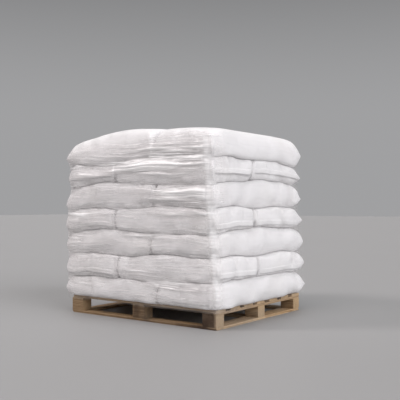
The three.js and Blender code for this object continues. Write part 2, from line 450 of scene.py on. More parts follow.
class Nodes:
    """The nodes of a material or surround, with a short call for each kind that it uses."""

    def __init__(self, owner):
        owner.use_nodes = True
        self.owner = owner
        self.tree = owner.node_tree

    def fill(self, node, inputs):
        """Links sockets to a node's inputs, and sets constants on the inputs themselves."""
        for key, value in inputs.items():
            if isinstance(value, bpy.types.NodeSocket):
                self.tree.links.new(value, node.inputs[key])
            else:
                node.inputs[key].default_value = value
        return node

    def add(self, kind, inputs=None, **settings):
        made = self.tree.nodes.new("ShaderNode" + kind)
        for key, value in settings.items():
            setattr(made, key, value)
        return self.fill(made, inputs or {})

    def surface(self, inputs):
        """Fills the surface shader and hands over the finished material."""
        self.fill(self.tree.nodes["Principled BSDF"], inputs)
        return self.owner

    def place(self):
        return self.add("TexCoord").outputs["Object"]

    def cloth_place(self, name):
        return self.add("UVMap", uv_map=name).outputs[0]

    def mark(self, name, output="Fac"):
        return self.add("Attribute", attribute_name=name).outputs[output]

    def axes(self, vector):
        return self.add("SeparateXYZ", {0: vector}).outputs

    def maths(self, operation, first, second=0.0, clamp=False):
        inputs = {0: first, 1: second}
        return self.add("Math", inputs, operation=operation, use_clamp=clamp).outputs[0]

    def plus(self, first, second, clamp=False):
        return self.maths("ADD", first, second, clamp)

    def minus(self, first, second):
        return self.maths("SUBTRACT", first, second)

    def times(self, first, second):
        return self.maths("MULTIPLY", first, second)

    def spread(self, value, low, high, to_low=0.0, to_high=1.0):
        """Maps low..high to to_low..to_high, clamped, with soft ends."""
        inputs = {"Value": value, "From Min": low, "From Max": high, "To Min": to_low, "To Max": to_high}
        return self.add("MapRange", inputs, interpolation_type="SMOOTHSTEP").outputs[0]

    def moved(self, vector, by):
        return self.add("VectorMath", {0: vector, 1: by}, operation="ADD").outputs[0]

    def stretched(self, vector, scale):
        return self.add("Mapping", {"Vector": vector, "Scale": scale}).outputs[0]

    def grain(self, vector, scale, detail=3.0, rough=0.5):
        """Smooth noise. A scale for each axis draws it out."""
        if isinstance(scale, tuple):
            vector, scale = self.stretched(vector, scale), 1.0
        inputs = {"Vector": vector, "Scale": scale, "Detail": detail, "Roughness": rough}
        return self.add("TexNoise", inputs).outputs[0]

    def waves(self, vector, scale, distortion, detail_scale=1.0, **settings):
        """Bands or rings whose lines are bent by noise."""
        inputs = {"Vector": vector, "Scale": scale, "Distortion": distortion}
        inputs |= {"Detail": 2.0, "Detail Scale": detail_scale}
        return self.add("TexWave", inputs, **settings).outputs[1]

    def blend(self, share, first, second, blend="MIX"):
        """Mixes two colours, each of which is a socket or a plain colour."""
        colours = [v if isinstance(v, bpy.types.NodeSocket) else (*v, 1.0) for v in (first, second)]
        inputs = {0: share, 6: colours[0], 7: colours[1]}
        return self.add("Mix", inputs, data_type="RGBA", blend_type=blend).outputs[2]

    def coated(self, paint, *coats):
        """Lays colours over a paint, each by its share."""
        for share, colour in coats:
            paint = self.blend(share, paint, colour)
        return paint

    def relief(self, *heights):
        """A normal from heights, each with its depth in metres and its strength."""
        normal = None
        for height, depth, strength in heights:
            inputs = {"Height": height, "Distance": depth, "Strength": strength}
            if normal is not None:
                inputs["Normal"] = normal
            normal = self.add("Bump", inputs).outputs[0]
        return normal


def new_material(name):
    return Nodes(bpy.data.materials.new(name))


def darker(colour, share):
    return tuple(v * share for v in colour)


def weave_height(nodes, uv, tape):
    """Plain weave of flat tapes: two crossed sets of ridges that take turns on top."""
    across = nodes.stretched(uv, (1 / tape, 1 / tape, 1))
    warp, weft = (
        nodes.maths("ABSOLUTE", nodes.maths("SINE", nodes.times(axis, math.pi)))
        for axis in nodes.axes(across)[:2]
    )
    turn = nodes.add("TexChecker", {"Vector": across, "Scale": 1.0}).outputs[1]
    return nodes.plus(nodes.times(warp, turn), nodes.times(weft, nodes.minus(1.0, turn)))


def stitches(nodes, uv, hem):
    """Dashes of sewing thread in one line along a hem."""
    down, along = nodes.axes(uv)[:2]
    line_place, line_half, dash_pitch, dash_share = 0.012, 0.0006, 110.0, 0.62
    off = nodes.maths("ABSOLUTE", nodes.minus(nodes.maths("PINGPONG", down, hem / 2), line_place))
    near = nodes.spread(off, line_half, line_half + 0.001, 1.0, 0.0)
    dash = nodes.maths("FRACT", nodes.times(along, dash_pitch))
    return nodes.times(near, nodes.maths("LESS_THAN", dash, dash_share))


def sack_cloth(name, settings, stitched=False):
    """White woven tape cloth with small creases, painted shade in the dips between tapes and soft wear.
    """
    nodes = new_material(name)
    uv = nodes.cloth_place("cloth")
    place = nodes.place()
    tapes = nodes.grain(uv, (330.0, 3.0, 1.0), 1.0)
    wefts = nodes.grain(uv, (3.0, 330.0, 1.0), 1.0)
    creases = nodes.grain(uv, (9.0, 24.0, 1.0), 4.0, 0.55)
    dents = nodes.grain(place, 11.0, 2.0)
    patches = nodes.grain(place, 3.2)
    weave = weave_height(nodes, uv, settings.tape)
    tone = nodes.plus(nodes.times(tapes, 0.5), nodes.times(wefts, 0.5))
    colour = Vector(settings.colour)
    dull = [v * f for v, f in zip(colour, (0.93, 0.925, 0.91))]
    paint = nodes.coated(
        nodes.blend(nodes.spread(tone, 0.3, 0.7), colour * 0.955, colour),
        (nodes.spread(patches, 0.45, 0.75, 0.0, 0.7), dull),
        # Painted shade in the dips between the woven tapes
        (nodes.spread(weave, 0.05, 0.5, 0.10, 0.0), (0.60, 0.60, 0.59)),
    )
    heights = [(dents, 0.010, 0.5), (creases, 0.006, 0.45), (weave, 0.0005, 0.8)]
    if stitched:
        thread = stitches(nodes, uv, settings.hem)
        paint = nodes.coated(paint, (nodes.times(thread, 0.5), (0.62, 0.62, 0.60)))
        heights.append((thread, 0.001, 0.8))
    return nodes.surface({
        "Base Color": paint,
        "Roughness": nodes.spread(patches, 0.3, 0.7, 0.46, 0.58),
        "Normal": nodes.relief(*heights),
        "Specular IOR Level": 0.35,
        "Sheen Weight": 0.12,
        "Sheen Roughness": 0.5,
    })


def clear_film(name, settings):
    """Clear glossy film: nearly invisible where it is flat, whiter along its stretch streaks, partly
    milky and partly painted glints.
    """
    nodes = new_material(name)
    uv = nodes.cloth_place("wrap")
    haze, veil = nodes.mark("haze"), nodes.mark("veil")
    streaks = nodes.grain(uv, (3.2, 85.0, 1.0), 3.0, 0.55)
    threads = nodes.grain(uv, (7.0, 300.0, 1.0), 2.0)
    patches = nodes.grain(uv, (2.4, 9.0, 1.0), 2.0)
    # Stretch streaks: partly milky film, partly painted glints
    streak_milk_and_glint = nodes.times(nodes.spread(streaks, 0.48, 0.68), nodes.spread(patches, 0.34, 0.60))
    fine = nodes.spread(threads, 0.50, 0.72)
    milk = nodes.plus(nodes.plus(nodes.times(streak_milk_and_glint, 0.50), nodes.times(fine, 0.14)), 0.05)
    grazing = nodes.add("LayerWeight", {"Blend": 0.25}).outputs["Facing"]
    rim = nodes.times(nodes.times(grazing, 0.22), haze)
    white = nodes.times(veil, nodes.spread(threads, 0.3, 0.7, 0.7, 1.2))
    alpha = nodes.plus(nodes.plus(nodes.times(milk, haze), white), rim, clamp=True)
    # The base colour goes whiter along streaks, folds, bunches and the near corner: partly milky film,
    # partly painted highlight
    whiter = nodes.plus(streak_milk_and_glint, veil, clamp=True)
    return nodes.surface({
        "Base Color": nodes.blend(nodes.times(whiter, 0.9), settings.colour, (0.96, 0.955, 0.955)),
        "Alpha": nodes.plus(alpha, 0.02, clamp=True),
        "Roughness": nodes.spread(patches, 0.3, 0.7, 0.18, 0.33),
        "Normal": nodes.relief((streaks, 0.007, 0.8), (threads, 0.002, 0.6)),
        "Specular IOR Level": 0.9,
        "IOR": 1.5,
    })


def growth_rings(nodes, log):
    """Rings round a heart that wanders a little along the log."""
    wander = nodes.grain(log, (1.5, 6.0, 6.0), 2.0)
    centre = nodes.times(nodes.minus(wander, 0.5), 0.05)
    drift = nodes.add("CombineXYZ", {1: centre, 2: centre}).outputs[0]
    bent = nodes.stretched(nodes.moved(log, drift), (0.12, 1.0, 1.0))
    return nodes.waves(bent, 42.0, 1.6, wave_type="RINGS", rings_direction="X", wave_profile="SAW")


def scattered_knots(nodes, log):
    """Knots at scattered places of the log, and the darker wood round them."""
    cells = nodes.stretched(log, (3.4, 11.0, 5.0))
    knots = nodes.add("TexVoronoi", {"Vector": cells, "Scale": 1.0, "Randomness": 0.9})
    chosen = nodes.add("SeparateColor", {0: knots.outputs["Color"]}).outputs[0]
    present = nodes.maths("GREATER_THAN", chosen, 0.42)
    distance = knots.outputs["Distance"]
    knot = nodes.times(nodes.spread(distance, 0.07, 0.17, 1.0, 0.0), present)
    halo = nodes.times(nodes.spread(distance, 0.12, 0.34, 0.45, 0.0), present)
    return knot, halo


def end_grain(nodes, along, rings, pale, dark):
    """Share and colour of the end grain, on the faces at both ends of a board."""
    facing = nodes.add("NewGeometry").outputs["True Normal"]
    side = nodes.axes(facing)[0 if along == "X" else 1]
    end = nodes.spread(nodes.maths("ABSOLUTE", side), 0.7, 0.9)
    end_dark = tuple((v + w) * 0.42 for v, w in zip(pale, dark))
    paint = nodes.blend(nodes.spread(rings, 0.1, 0.9), darker(pale, 0.92), end_dark)
    return nodes.times(end, 0.85), paint


def sawn_wood(name, along, pale, dark):
    """Rough sawn softwood with growth rings, knots, saw marks, end grain, dirt, and stains mixed with
    painted shade.
    """
    nodes = new_material(name)
    place = nodes.place()
    turn = 0 if along == "X" else -math.pi / 2
    turned = nodes.add("Mapping", {"Vector": place, "Rotation": (0, 0, turn)}).outputs[0]
    log = nodes.moved(turned, nodes.mark("log_shift", "Vector"))
    rings = growth_rings(nodes, log)
    knot, halo = scattered_knots(nodes, log)
    fibres = nodes.grain(log, (9.0, 320.0, 320.0), 3.0, 0.6)
    streaks = nodes.grain(log, (2.0, 45.0, 45.0), 3.0, 0.55)
    dirt = nodes.grain(place, 7.5, 5.0, 0.65)
    grey = nodes.grain(place, (2.2, 2.2, 6.0), 2.0)
    late = nodes.plus(nodes.times(rings, 0.5), nodes.times(streaks, 0.8))
    paint = nodes.coated(
        nodes.blend(nodes.spread(late, 0.35, 0.90), pale, dark),
        (nodes.spread(fibres, 0.35, 0.75, 0.0, 0.35), darker(dark, 0.5)),
        (halo, darker(dark, 0.8)),
        (knot, (0.11, 0.06, 0.035)),
        end_grain(nodes, along, rings, pale, dark),
        (nodes.spread(dirt, 0.48, 0.72, 0.0, 0.70), (0.13, 0.09, 0.06)),
        (nodes.spread(grey, 0.45, 0.7, 0.0, 0.35), (0.40, 0.36, 0.31)),
        # Dark wash on the pallet's front side: partly stains, partly painted shade
        (
            nodes.times(nodes.mark("stain"), nodes.spread(dirt, 0.25, 0.60, 0.62, 0.95)),
            (0.055, 0.032, 0.02),
        ),
    )
    shade = nodes.blend(nodes.mark("tone"), (0.66, 0.64, 0.62), (1.12, 1.10, 1.06))
    saw = nodes.waves(log, 55.0, 6.0, 2.0, bands_direction="X")
    return nodes.surface({
        "Base Color": nodes.blend(1.0, paint, shade, "MULTIPLY"),
        "Roughness": nodes.spread(dirt, 0.3, 0.7, 0.72, 0.90),
        "Normal": nodes.relief((saw, 0.0004, 0.35), (fibres, 0.0008, 0.7), (knot, 0.0012, 0.5)),
        "Specular IOR Level": 0.3,
    })


def nail_steel(name):
    """Dull zinc-coated nail heads with spots of rust."""
    nodes = new_material(name)
    rust = nodes.grain(nodes.place(), 160.0, 4.0, 0.6)
    zinc, brown = (0.34, 0.34, 0.35), (0.20, 0.09, 0.045)
    return nodes.surface({
        "Base Color": nodes.blend(nodes.spread(rust, 0.42, 0.62), zinc, brown),
        "Roughness": nodes.spread(rust, 0.4, 0.6, 0.40, 0.8),
        "Metallic": nodes.spread(rust, 0.4, 0.6, 0.9, 0.1),
        "Normal": nodes.relief((rust, 0.0003, 0.5)),
    })


def plain_floor(name, colour):
    """An even, slightly clouded floor."""
    nodes = new_material(name)
    cloud = nodes.grain(nodes.place(), 0.7)
    return nodes.surface({
        "Base Color": nodes.blend(cloud, colour, darker(colour, 0.97)),
        "Roughness": 0.55,
        "Specular IOR Level": 0.3,
    })


# Pallet


def front_stain_and_shade(points):
    """How dark the wood is painted on the front side of the pallet, most of all near one corner: partly
    stains, partly painted shade.
    """
    x, y, z = points.T
    front_plane, end_plane, deck_underside = -0.494, 0.5985, 0.098
    front = ease((front_plane - y) / 0.004) * ease((end_plane - x) / 0.002)
    corner = hump(x, 0.50, 0.085) + 0.45 * hump(x, -0.02, 0.03)
    low = 0.25 + 0.35 * ease((x + 0.5) / 0.9)
    deck = 1 - 0.85 * ease((z - deck_underside) / 0.005)
    return np.clip(front * (low + corner) * deck, 0, 1)


def select_edges(piece, wanted):
    """Selects the edges of a piece in edit mode that pass a test, and no others."""
    bpy.ops.mesh.select_all(action="DESELECT")
    edit = bmesh.from_edit_mesh(piece.data)
    for edge in edit.edges:
        if wanted(edge):
            edge.select_set(True)
    bmesh.update_edit_mesh(piece.data)


def runs_along(axis):
    """A test for edges that run along one axis."""
    return lambda edge: abs((edge.verts[1].co - edge.verts[0].co).normalized()[axis]) > 0.99


def is_sharp(edge):
    return len(edge.link_faces) == 2 and edge.calc_face_angle() > 1.0


def chip(low, high, corner, inward, depth):
    """Cuts one corner off the piece in edit mode."""
    tip = Vector(low[i] if sign < 0 else high[i] for i, sign in enumerate(corner))
    aim = Vector(inward).normalized()
    bpy.ops.mesh.select_all(action="SELECT")
    bpy.ops.mesh.bisect(plane_co=tip + aim * depth, plane_no=-aim, use_fill=True, clear_outer=True)


def warp(piece, amount):
    """Bends a piece a little along each axis, as drying does, and keeps it above the floor."""
    texture = bpy.data.textures.new(piece.name + "_warp", "CLOUDS")
    texture.noise_scale = 0.21
    for direction, strength in (("X", 0.5), ("Y", 0.5), ("Z", 0.6)):
        bend = piece.modifiers.new("Warp", "DISPLACE")
        bend.texture = texture
        bend.direction = direction
        bend.strength = amount * strength
        bend.mid_level = 0.5
        bpy.ops.object.modifier_apply(modifier=bend.name)
    for vertex in piece.data.vertices:
        vertex.co.z = max(vertex.co.z, 0.0)


def mark_wood(piece, low, high, along, seed):
    """Gives a piece its own place in its log, its own tone, and its stains mixed with painted shade."""
    draw = random.Random(seed)
    count = len(piece.data.vertices)
    centre = (low + high) / 2
    across = centre.y if along == "X" else -centre.x
    log_shift = (
        draw.uniform(-9, 9),
        -across + draw.uniform(-0.03, 0.03),
        -centre.z + draw.choice((-1, 1)) * draw.uniform(0.02, 0.09),
    )
    mark_points(piece.data, "log_shift", [log_shift] * count)
    mark_points(piece.data, "tone", [draw.uniform(0.25, 1.0)] * count)
    # Front-side darkening: partly stains, partly painted shade
    mark_points(piece.data, "stain", front_stain_and_shade(points_of(piece.data)))


def sawn_block(name, node, settings, along, seed, cuts, chips=()):
    """A sawn board or block in the place of one solid, with bevelled and slightly uneven edges."""
    low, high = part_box(node)
    deselect_all()
    bpy.ops.mesh.primitive_cube_add(size=1, location=(low + high) / 2, scale=high - low)
    piece = bpy.context.object
    piece.name = name
    bpy.ops.object.transform_apply(location=True, rotation=True, scale=True)
    axis = 0 if along == "X" else 1
    bpy.ops.object.mode_set(mode="EDIT")
    bpy.ops.mesh.select_mode(type="EDGE")
    for turn, pieces in ((axis, cuts), (1 - axis, 3), (2, 1)):
        select_edges(piece, runs_along(turn))
        bpy.ops.mesh.subdivide(number_cuts=pieces)
    select_edges(piece, is_sharp)
    bpy.ops.mesh.bevel(offset=settings.bevel, segments=2, profile=0.6)
    for corner, inward, depth in chips:
        chip(low, high, corner, inward, depth)
    bpy.ops.mesh.select_all(action="SELECT")
    bpy.ops.transform.vertex_random(offset=settings.bevel * 0.14, seed=seed)
    bpy.ops.mesh.normals_make_consistent(inside=False)
    bpy.ops.object.mode_set(mode="OBJECT")
    warp(piece, settings.warp)
    mark_wood(piece, low, high, along, seed)
    smooth(piece.data)
    bpy.ops.object.shade_smooth_by_angle(angle=math.radians(35))
    return piece


class PALLET_OT_boards(bpy.types.Operator):
    """Saws the runners, fillers, stringers and deck boards of the pallet"""

    bl_idname = "pallet.boards"
    bl_label = "Pallet boards"

    def execute(self, context):
        settings = context.scene.pallet_wood
        pale, dark = tuple(settings.pale), tuple(settings.dark)
        woods = {
            "X": sawn_wood("board_wood_long", "X", pale, dark),
            "Y": sawn_wood("board_wood_cross", "Y", pale, dark),
        }
        seed = 11
        for group, count, along, cuts in BOARDS:
            for number in range(1, count + 1):
                node = f"{group}_{number}"
                seed += 1
                chips = CHIPPED.get(node, ())
                piece = sawn_block(node + "_wood", node, settings, along, seed, cuts, chips)
                piece.data.materials.append(woods[along])
                finish_piece(piece, "board_wood", node)
        return {"FINISHED"}


class PALLET_OT_blocks(bpy.types.Operator):
    """Saws the nine spacer blocks between the boards"""

    bl_idname = "pallet.blocks"
    bl_label = "Pallet blocks"

    def execute(self, context):
        settings = context.scene.pallet_wood
        pale, dark = darker(settings.pale, 0.92), darker(settings.dark, 0.88)
        wood = sawn_wood("block_wood", "X", pale, dark)
        for number in range(1, 10):
            node = f"block_{number}"
            piece = sawn_block(node + "_wood", node, settings, "X", 40 + number, 4)
            piece.data.materials.append(wood)
            finish_piece(piece, "block_wood", node)
        return {"FINISHED"}


def nail_spots(settings):
    """Places of the nail heads on the deck boards and under the runners, and which way they face."""
    draw = random.Random(5)
    spots = []
    for line in range(1, 4):
        low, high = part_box(f"stringer_board_{line}")
        middle = (low.x + high.x) / 2
        for group, count, first, step, stray, up in NAILED:
            for number in range(1, count + 1):
                low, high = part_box(f"{group}_{number}")
                for turn in range(settings.nails):
                    x = middle + draw.uniform(-0.02, 0.02)
                    y = low.y + (high.y - low.y) * (first + step * turn) + draw.uniform(-stray, stray)
                    spots.append((x, y, high.z if up > 0 else low.z, up))
    return spots


class PALLET_OT_nails(bpy.types.Operator):
    """Drives the nails through the deck boards and the runners"""

    bl_idname = "pallet.nails"
    bl_label = "Pallet nails"

    def execute(self, context):
        spots = nail_spots(context.scene.pallet_wood)
        deselect_all()
        bpy.ops.mesh.primitive_cylinder_add(vertices=10, radius=NAIL_RADIUS, depth=NAIL_DEPTH)
        head = bpy.context.object
        bpy.ops.object.mode_set(mode="EDIT")
        bpy.ops.mesh.select_all(action="SELECT")
        bpy.ops.mesh.bevel(offset=0.0005, segments=1)
        bpy.ops.object.mode_set(mode="OBJECT")
        copies = [link(bpy.data.objects.new("nail_head", head.data.copy())) for _ in spots[1:]]
        for nail, (x, y, z, up) in zip([head, *copies], spots):
            nail.location = (x, y, z - up * NAIL_DEPTH / 2)
            nail.select_set(True)
        bpy.context.view_layer.objects.active = head
        bpy.ops.object.transform_apply(location=True, rotation=True, scale=True)
        bpy.ops.object.join()
        head.name = "pallet_nail_heads"
        head.data.materials.append(nail_steel("nail_steel"))
        finish_piece(head, "board_wood")
        return {"FINISHED"}


# Sacks


class FlatSack:
    """The flat tube of cloth that a sack is sewn from: two sheets that share their rim."""

    def __init__(self, length, width, settings, seed):
        self.length, self.width = length, width
        long_cells = int(round(length / settings.cell))
        wide_cells = int(round(width / settings.cell))
        xs = np.linspace(-length / 2, length / 2, long_cells + 1)
        ys = np.linspace(-width / 2, width / 2, wide_cells + 1)
        flat_x, flat_y = np.meshgrid(xs, ys, indexing="ij")
        self.flat = np.stack([flat_x, flat_y], axis=-1)
        x, y = self.rounded(flat_x.copy(), flat_y.copy(), settings.corner)
        uneven, pitch, half_gap = 0.005, 0.16, 0.025
        x = x + uneven * ripples(flat_x, flat_y, pitch, seed)
        y = y + uneven * ripples(flat_x, flat_y, pitch, seed + 50)
        far_x = np.minimum(flat_x + length / 2, length / 2 - flat_x) / length * 2
        far_y = np.minimum(flat_y + width / 2, width / 2 - flat_y) / width * 2
        rise = np.nan_to_num(np.sqrt(np.minimum(1, 3 * far_x)) * np.sqrt(np.minimum(1, 3 * far_y)))
        rows, columns = flat_x.shape
        inner = (rows - 2) * (columns - 2)
        self.lower = np.arange(rows * columns).reshape(rows, columns)
        self.upper = self.lower.copy()
        self.upper[1:-1, 1:-1] = rows * columns + np.arange(inner).reshape(rows - 2, columns - 2)
        self.points = self.two_sheets(x, y, half_gap * rise)
        self.faces = np.concatenate([self.cells(self.lower)[:, ::-1], self.cells(self.upper)])

    @staticmethod
    def cells(grid):
        """The four corners of every cell of a grid."""
        corners = [grid[:-1, :-1], grid[1:, :-1], grid[1:, 1:], grid[:-1, 1:]]
        return np.stack(corners, axis=-1).reshape(-1, 4)

    @staticmethod
    def two_sheets(x, y, rise):
        """Points of a lower sheet and of the inside of an upper one, apart by twice a rise."""
        lower = np.stack([x, y, -rise], axis=-1).reshape(-1, 3)
        upper = np.stack([x, y, rise], axis=-1)[1:-1, 1:-1].reshape(-1, 3)
        return np.concatenate([lower, upper])

    def rounded(self, x, y, radius):
        """Moves the corners of the sheet onto arcs."""
        a = np.abs(x) - (self.length / 2 - radius)
        b = np.abs(y) - (self.width / 2 - radius)
        inside = (a > 0) & (b > 0)
        far = np.maximum(a, b)
        span = np.hypot(a, b)
        span[span == 0] = 1
        x[inside] = (np.sign(x) * (self.length / 2 - radius + a / span * far))[inside]
        y[inside] = (np.sign(y) * (self.width / 2 - radius + b / span * far))[inside]
        return x, y

    def cloth_map(self):
        """Place on the unfolded cloth of every face corner, the lower sheet beside the upper."""
        flat = self.flat
        beside = np.stack([flat[..., 0], self.width - flat[..., 1]], axis=-1)
        low = self.cells(np.arange(flat[..., 0].size).reshape(flat.shape[:2]))
        lower = beside.reshape(-1, 2)[low[:, ::-1]]
        upper = flat.reshape(-1, 2)[low]
        return np.concatenate([lower, upper])


def wall(name, low, high):
    """A block that the cloth is pressed against while it swells."""
    deselect_all()
    middle = [(a + b) / 2 for a, b in zip(low, high)]
    size = [b - a for a, b in zip(low, high)]
    bpy.ops.mesh.primitive_cube_add(size=1, location=middle, scale=size)
    block = bpy.context.object
    block.name = name
    block.modifiers.new("Collision", "COLLISION")
    block.collision.thickness_outer = 0.002
    block.collision.thickness_inner = 0.02
    block.collision.cloth_friction = 5
    return block


def swell(flat, length, width, settings, ends_free, crowned=None):
    """Fills a flat sack between its neighbours and gives its points.

    The sack lies along X. Its inner side is at +Y; its inner end, if it has one, is at -X.
    A crowned sack has nothing on top, and is filled to a volume."""
    sack = mesh_object("swelling_sack", flat.points, flat.faces)
    half, far, thick = LAYER_PITCH / 2, 1.4, 0.3
    walls = [
        wall("under", (-far, -far, -thick), (far, far, -half)),
        wall("beside", (-far, width / 2, -thick), (far, width / 2 + thick, thick)),
    ]
    if not ends_free:
        walls.append(wall("behind", (-length / 2 - thick, -far, -thick), (-length / 2, far, thick)))
    if crowned is None:
        walls.append(wall("above", (-far, -far, half), (far, far, thick)))
    scene = bpy.context.scene
    cloth = sack.modifiers.new("Cloth", "CLOTH")
    feel = cloth.settings
    for key, value in CLOTH_FEEL.items():
        setattr(feel, key, value)
    feel.uniform_pressure_force = settings.pressure
    feel.effector_weights.gravity = 0
    frames = 28
    if crowned is not None:
        feel.uniform_pressure_force = 5
        feel.use_pressure_volume = True
        feel.target_volume = crowned
        feel.effector_weights.gravity = 0.2
        frames = 36
    cloth.collision_settings.use_collision = True
    cloth.collision_settings.collision_quality = 2
    cloth.collision_settings.distance_min = 0.003
    cloth.point_cache.frame_start = 1
    cloth.point_cache.frame_end = frames
    for step in range(1, frames + 1):
        scene.frame_set(step)
    shown = sack.evaluated_get(bpy.context.evaluated_depsgraph_get())
    points = points_of(shown.data).copy()
    for obj in [sack, *walls]:
        bpy.data.objects.remove(obj)
    scene.frame_set(1)
    return points


class SwollenSack:
    """One filled sack, kept as shares of its place: along, across (inner to free) and height."""

    def __init__(self, length, width, settings, seed, ends_free=False, crowned=None):
        cut = length + settings.spare_length, width + settings.spare_width
        self.flat = FlatSack(*cut, settings, seed)
        self.ends_free = ends_free
        self.crowned = crowned is not None
        points = swell(self.flat, length, width, settings, ends_free, crowned)
        low, high = points.min(axis=0), points.max(axis=0)
        if not ends_free:
            low[0] = min(low[0], -length / 2)
        high[1] = max(high[1], width / 2)
        self.along = (points[:, 0] - low[0]) / (high[0] - low[0])
        self.across = (high[1] - points[:, 1]) / (high[1] - low[1])
        self.height = (points[:, 2] - low[2]) / (high[2] - low[2])
        self.settle(settings)

    def settle(self, settings):
        """Presses the sack as its neighbours do: straighter sides and fuller inner ends."""
        low, high = self.flat.lower, self.flat.upper
        rows, columns = low.shape
        inner_row = np.zeros(rows) if self.ends_free else np.linspace(1, 0, rows) ** 2
        inner_column = np.linspace(0, 1, columns) ** 2
        beside = settings.straight_inner if self.ends_free else settings.straight_beside
        for _ in range(2):
            firm = settings.straight + (settings.straight_inner - settings.straight) * inner_row
            self.across = self.evened(self.across, firm, 0)
            firm = settings.straight + (beside - settings.straight) * inner_column
            self.along = self.evened(self.along, firm, 1)
        near_inner = np.maximum(inner_row[:, None] ** 2, inner_column[None, :] ** 2)
        power = settings.full + (settings.full_inner - settings.full) * near_inner
        if self.crowned:
            power = power + 0.8
            self.height[high] = soothed(self.height[high], 5)
        self.height = blunted(self.height, self.flat, power)
        if not self.ends_free:
            rows = slice(0, CARRIED_ROWS + 1)
            self.carry_on(low[rows], high[rows], self.along, self.across)
        from_side = slice(None, -CARRIED_ROWS - 2, -1)
        self.carry_on(low[:, from_side].T, high[:, from_side].T, self.across, self.along)

    def carry_on(self, low, high, towards, beside):
        """Carries the sack's section on to a joint, so that two sacks meet without a notch.

        The grids start at the joint and end at the line whose section is carried on."""
        thick = self.height[high] - self.height[low]
        middle = (self.height[high] + self.height[low]) / 2
        centre = thick.shape[1] // 2
        weight = 0.85 * (1 - ease(np.linspace(0, 1, len(low))))[:, None]
        for grid in (low, high):
            faced = towards[grid]
            towards[grid] = faced + (faced[:, centre : centre + 1] - faced) * weight
            drawn = beside[grid]
            beside[grid] = drawn + (drawn[-1:] - drawn) * weight
        share = np.clip(thick[:, centre] / thick[-1, centre], 0, 1)[:, None]
        carried = thick[-1][None, :] * share
        gain = np.clip((carried - thick) / np.maximum(carried, 1e-6), 0, 1)
        thick = np.maximum(thick, carried)
        middle = middle + (middle[-1][None, :] - middle) * gain
        middle = np.clip(middle, thick / 2, 1 - thick / 2)
        self.height[low] = middle - thick / 2
        self.height[high] = middle + thick / 2

    def evened(self, values, firm, axis):
        """Draws the rim of the outline towards the edge of the sack's place, line by line."""
        low, high = self.flat.lower, self.flat.upper
        both = np.stack([values[low], values[high]])
        span = 2 if axis == 0 else 1
        least = soothed_line(both.min(axis=(0, span)))
        most = soothed_line(both.max(axis=(0, span)))
        new_least = least * (1 - firm)
        new_most = 1 - (1 - most) * (1 - firm)
        scale = (new_most - new_least) / np.maximum(most - least, 0.2)
        shape = (-1, 1) if axis == 0 else (1, -1)
        least, new_least, scale = (line.reshape(shape) for line in (least, new_least, scale))
        made = values.copy()
        for grid in (low, high):
            made[grid] = new_least + (values[grid] - least) * scale
        return np.clip(made, -0.01, 1.01)


def soothed_line(line):
    """A line of values smoothed, with its ends held."""
    for _ in range(3):
        line = np.convolve(np.pad(line, 1, mode="edge"), [0.25, 0.5, 0.25], "valid")
    return line


def soothed(field, times):
    """A grid of values smoothed both ways, with its rim kept."""
    for _ in range(times):
        beside = field[:-2, 1:-1] + field[2:, 1:-1] + field[1:-1, :-2] + field[1:-1, 2:]
        field = field.copy()
        field[1:-1, 1:-1] = (beside + 2 * field[1:-1, 1:-1]) / 6
    return field


def blunted(height, flat, power):
    """Heights of a sack whose rim is fuller by a power, which may differ from place to place."""
    low, high = flat.lower, flat.upper
    thick = height[high] - height[low]
    middle = (height[high] + height[low]) / 2
    fuller = 1 - (1 - np.clip(thick, 0, 1)) ** power
    middle = np.clip(middle, fuller / 2, 1 - fuller / 2)
    made = height.copy()
    made[low] = middle - fuller / 2
    made[high] = middle + fuller / 2
    return made


def relaxed(points, faces, share, times):
    """Points drawn towards the middle of their neighbours, each by its own share."""
    count = len(points)
    starts = faces[:, [0, 1, 2, 3]].ravel()
    ends = faces[:, [1, 2, 3, 0]].ravel()
    degree = np.bincount(starts, minlength=count)[:, None]
    for _ in range(times):
        total = np.stack([np.bincount(starts, points[ends, axis], count) for axis in range(3)], axis=1)
        points = points + (total / degree - points) * share[:, None]
    return points


def layer_places(layer):
    """Boxes of the three sacks of a layer, and whether the cross sack is at the +X end."""
    boxes = {part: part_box(f"sack_layer{layer}_{part}") for part in PARTS}
    cross_high = boxes["cross"][1].x > boxes["front"][1].x
    return boxes, cross_high


def layer_joints(layer):
    """Where the cross sack meets the other two, in X, and where those two meet, in Y."""
    boxes, cross_high = layer_places(layer)
    cross, front, back = (boxes[part] for part in PARTS)
    joint = (cross[0].x + front[1].x) / 2 if cross_high else (cross[1].x + front[0].x) / 2
    return joint, (front[1].y + back[0].y) / 2


def side_knots(layer, side):
    """Places along one side of the load where the seam above a layer has its given heights."""
    boxes, cross_high = layer_places(layer)
    cross, front = boxes["cross"], boxes["front"]
    joint, split = layer_joints(layer)
    if side in ("front", "back"):
        start, end = (front[0].x, cross[1].x) if cross_high else (cross[0].x, front[1].x)
    else:
        start, end = cross[0].y, cross[1].y
        joint = (start + end) / 2 if cross_high == (side == "right") else split
    return np.array([start, (start + joint) / 2, joint, (joint + end) / 2, end])


def side_curve(layer, side, t):
    """Height of a seam over its even height along one side, in metres."""
    knots = side_knots(layer, side)
    rises = np.array(SEAM_RISE[side][layer]) / 1000.0
    t = np.clip(t, knots[0], knots[-1])
    index = np.clip(np.searchsorted(knots, t) - 1, 0, len(knots) - 2)
    share = (t - knots[index]) / (knots[index + 1] - knots[index])
    return rises[index] + (rises[index + 1] - rises[index]) * ease(share)


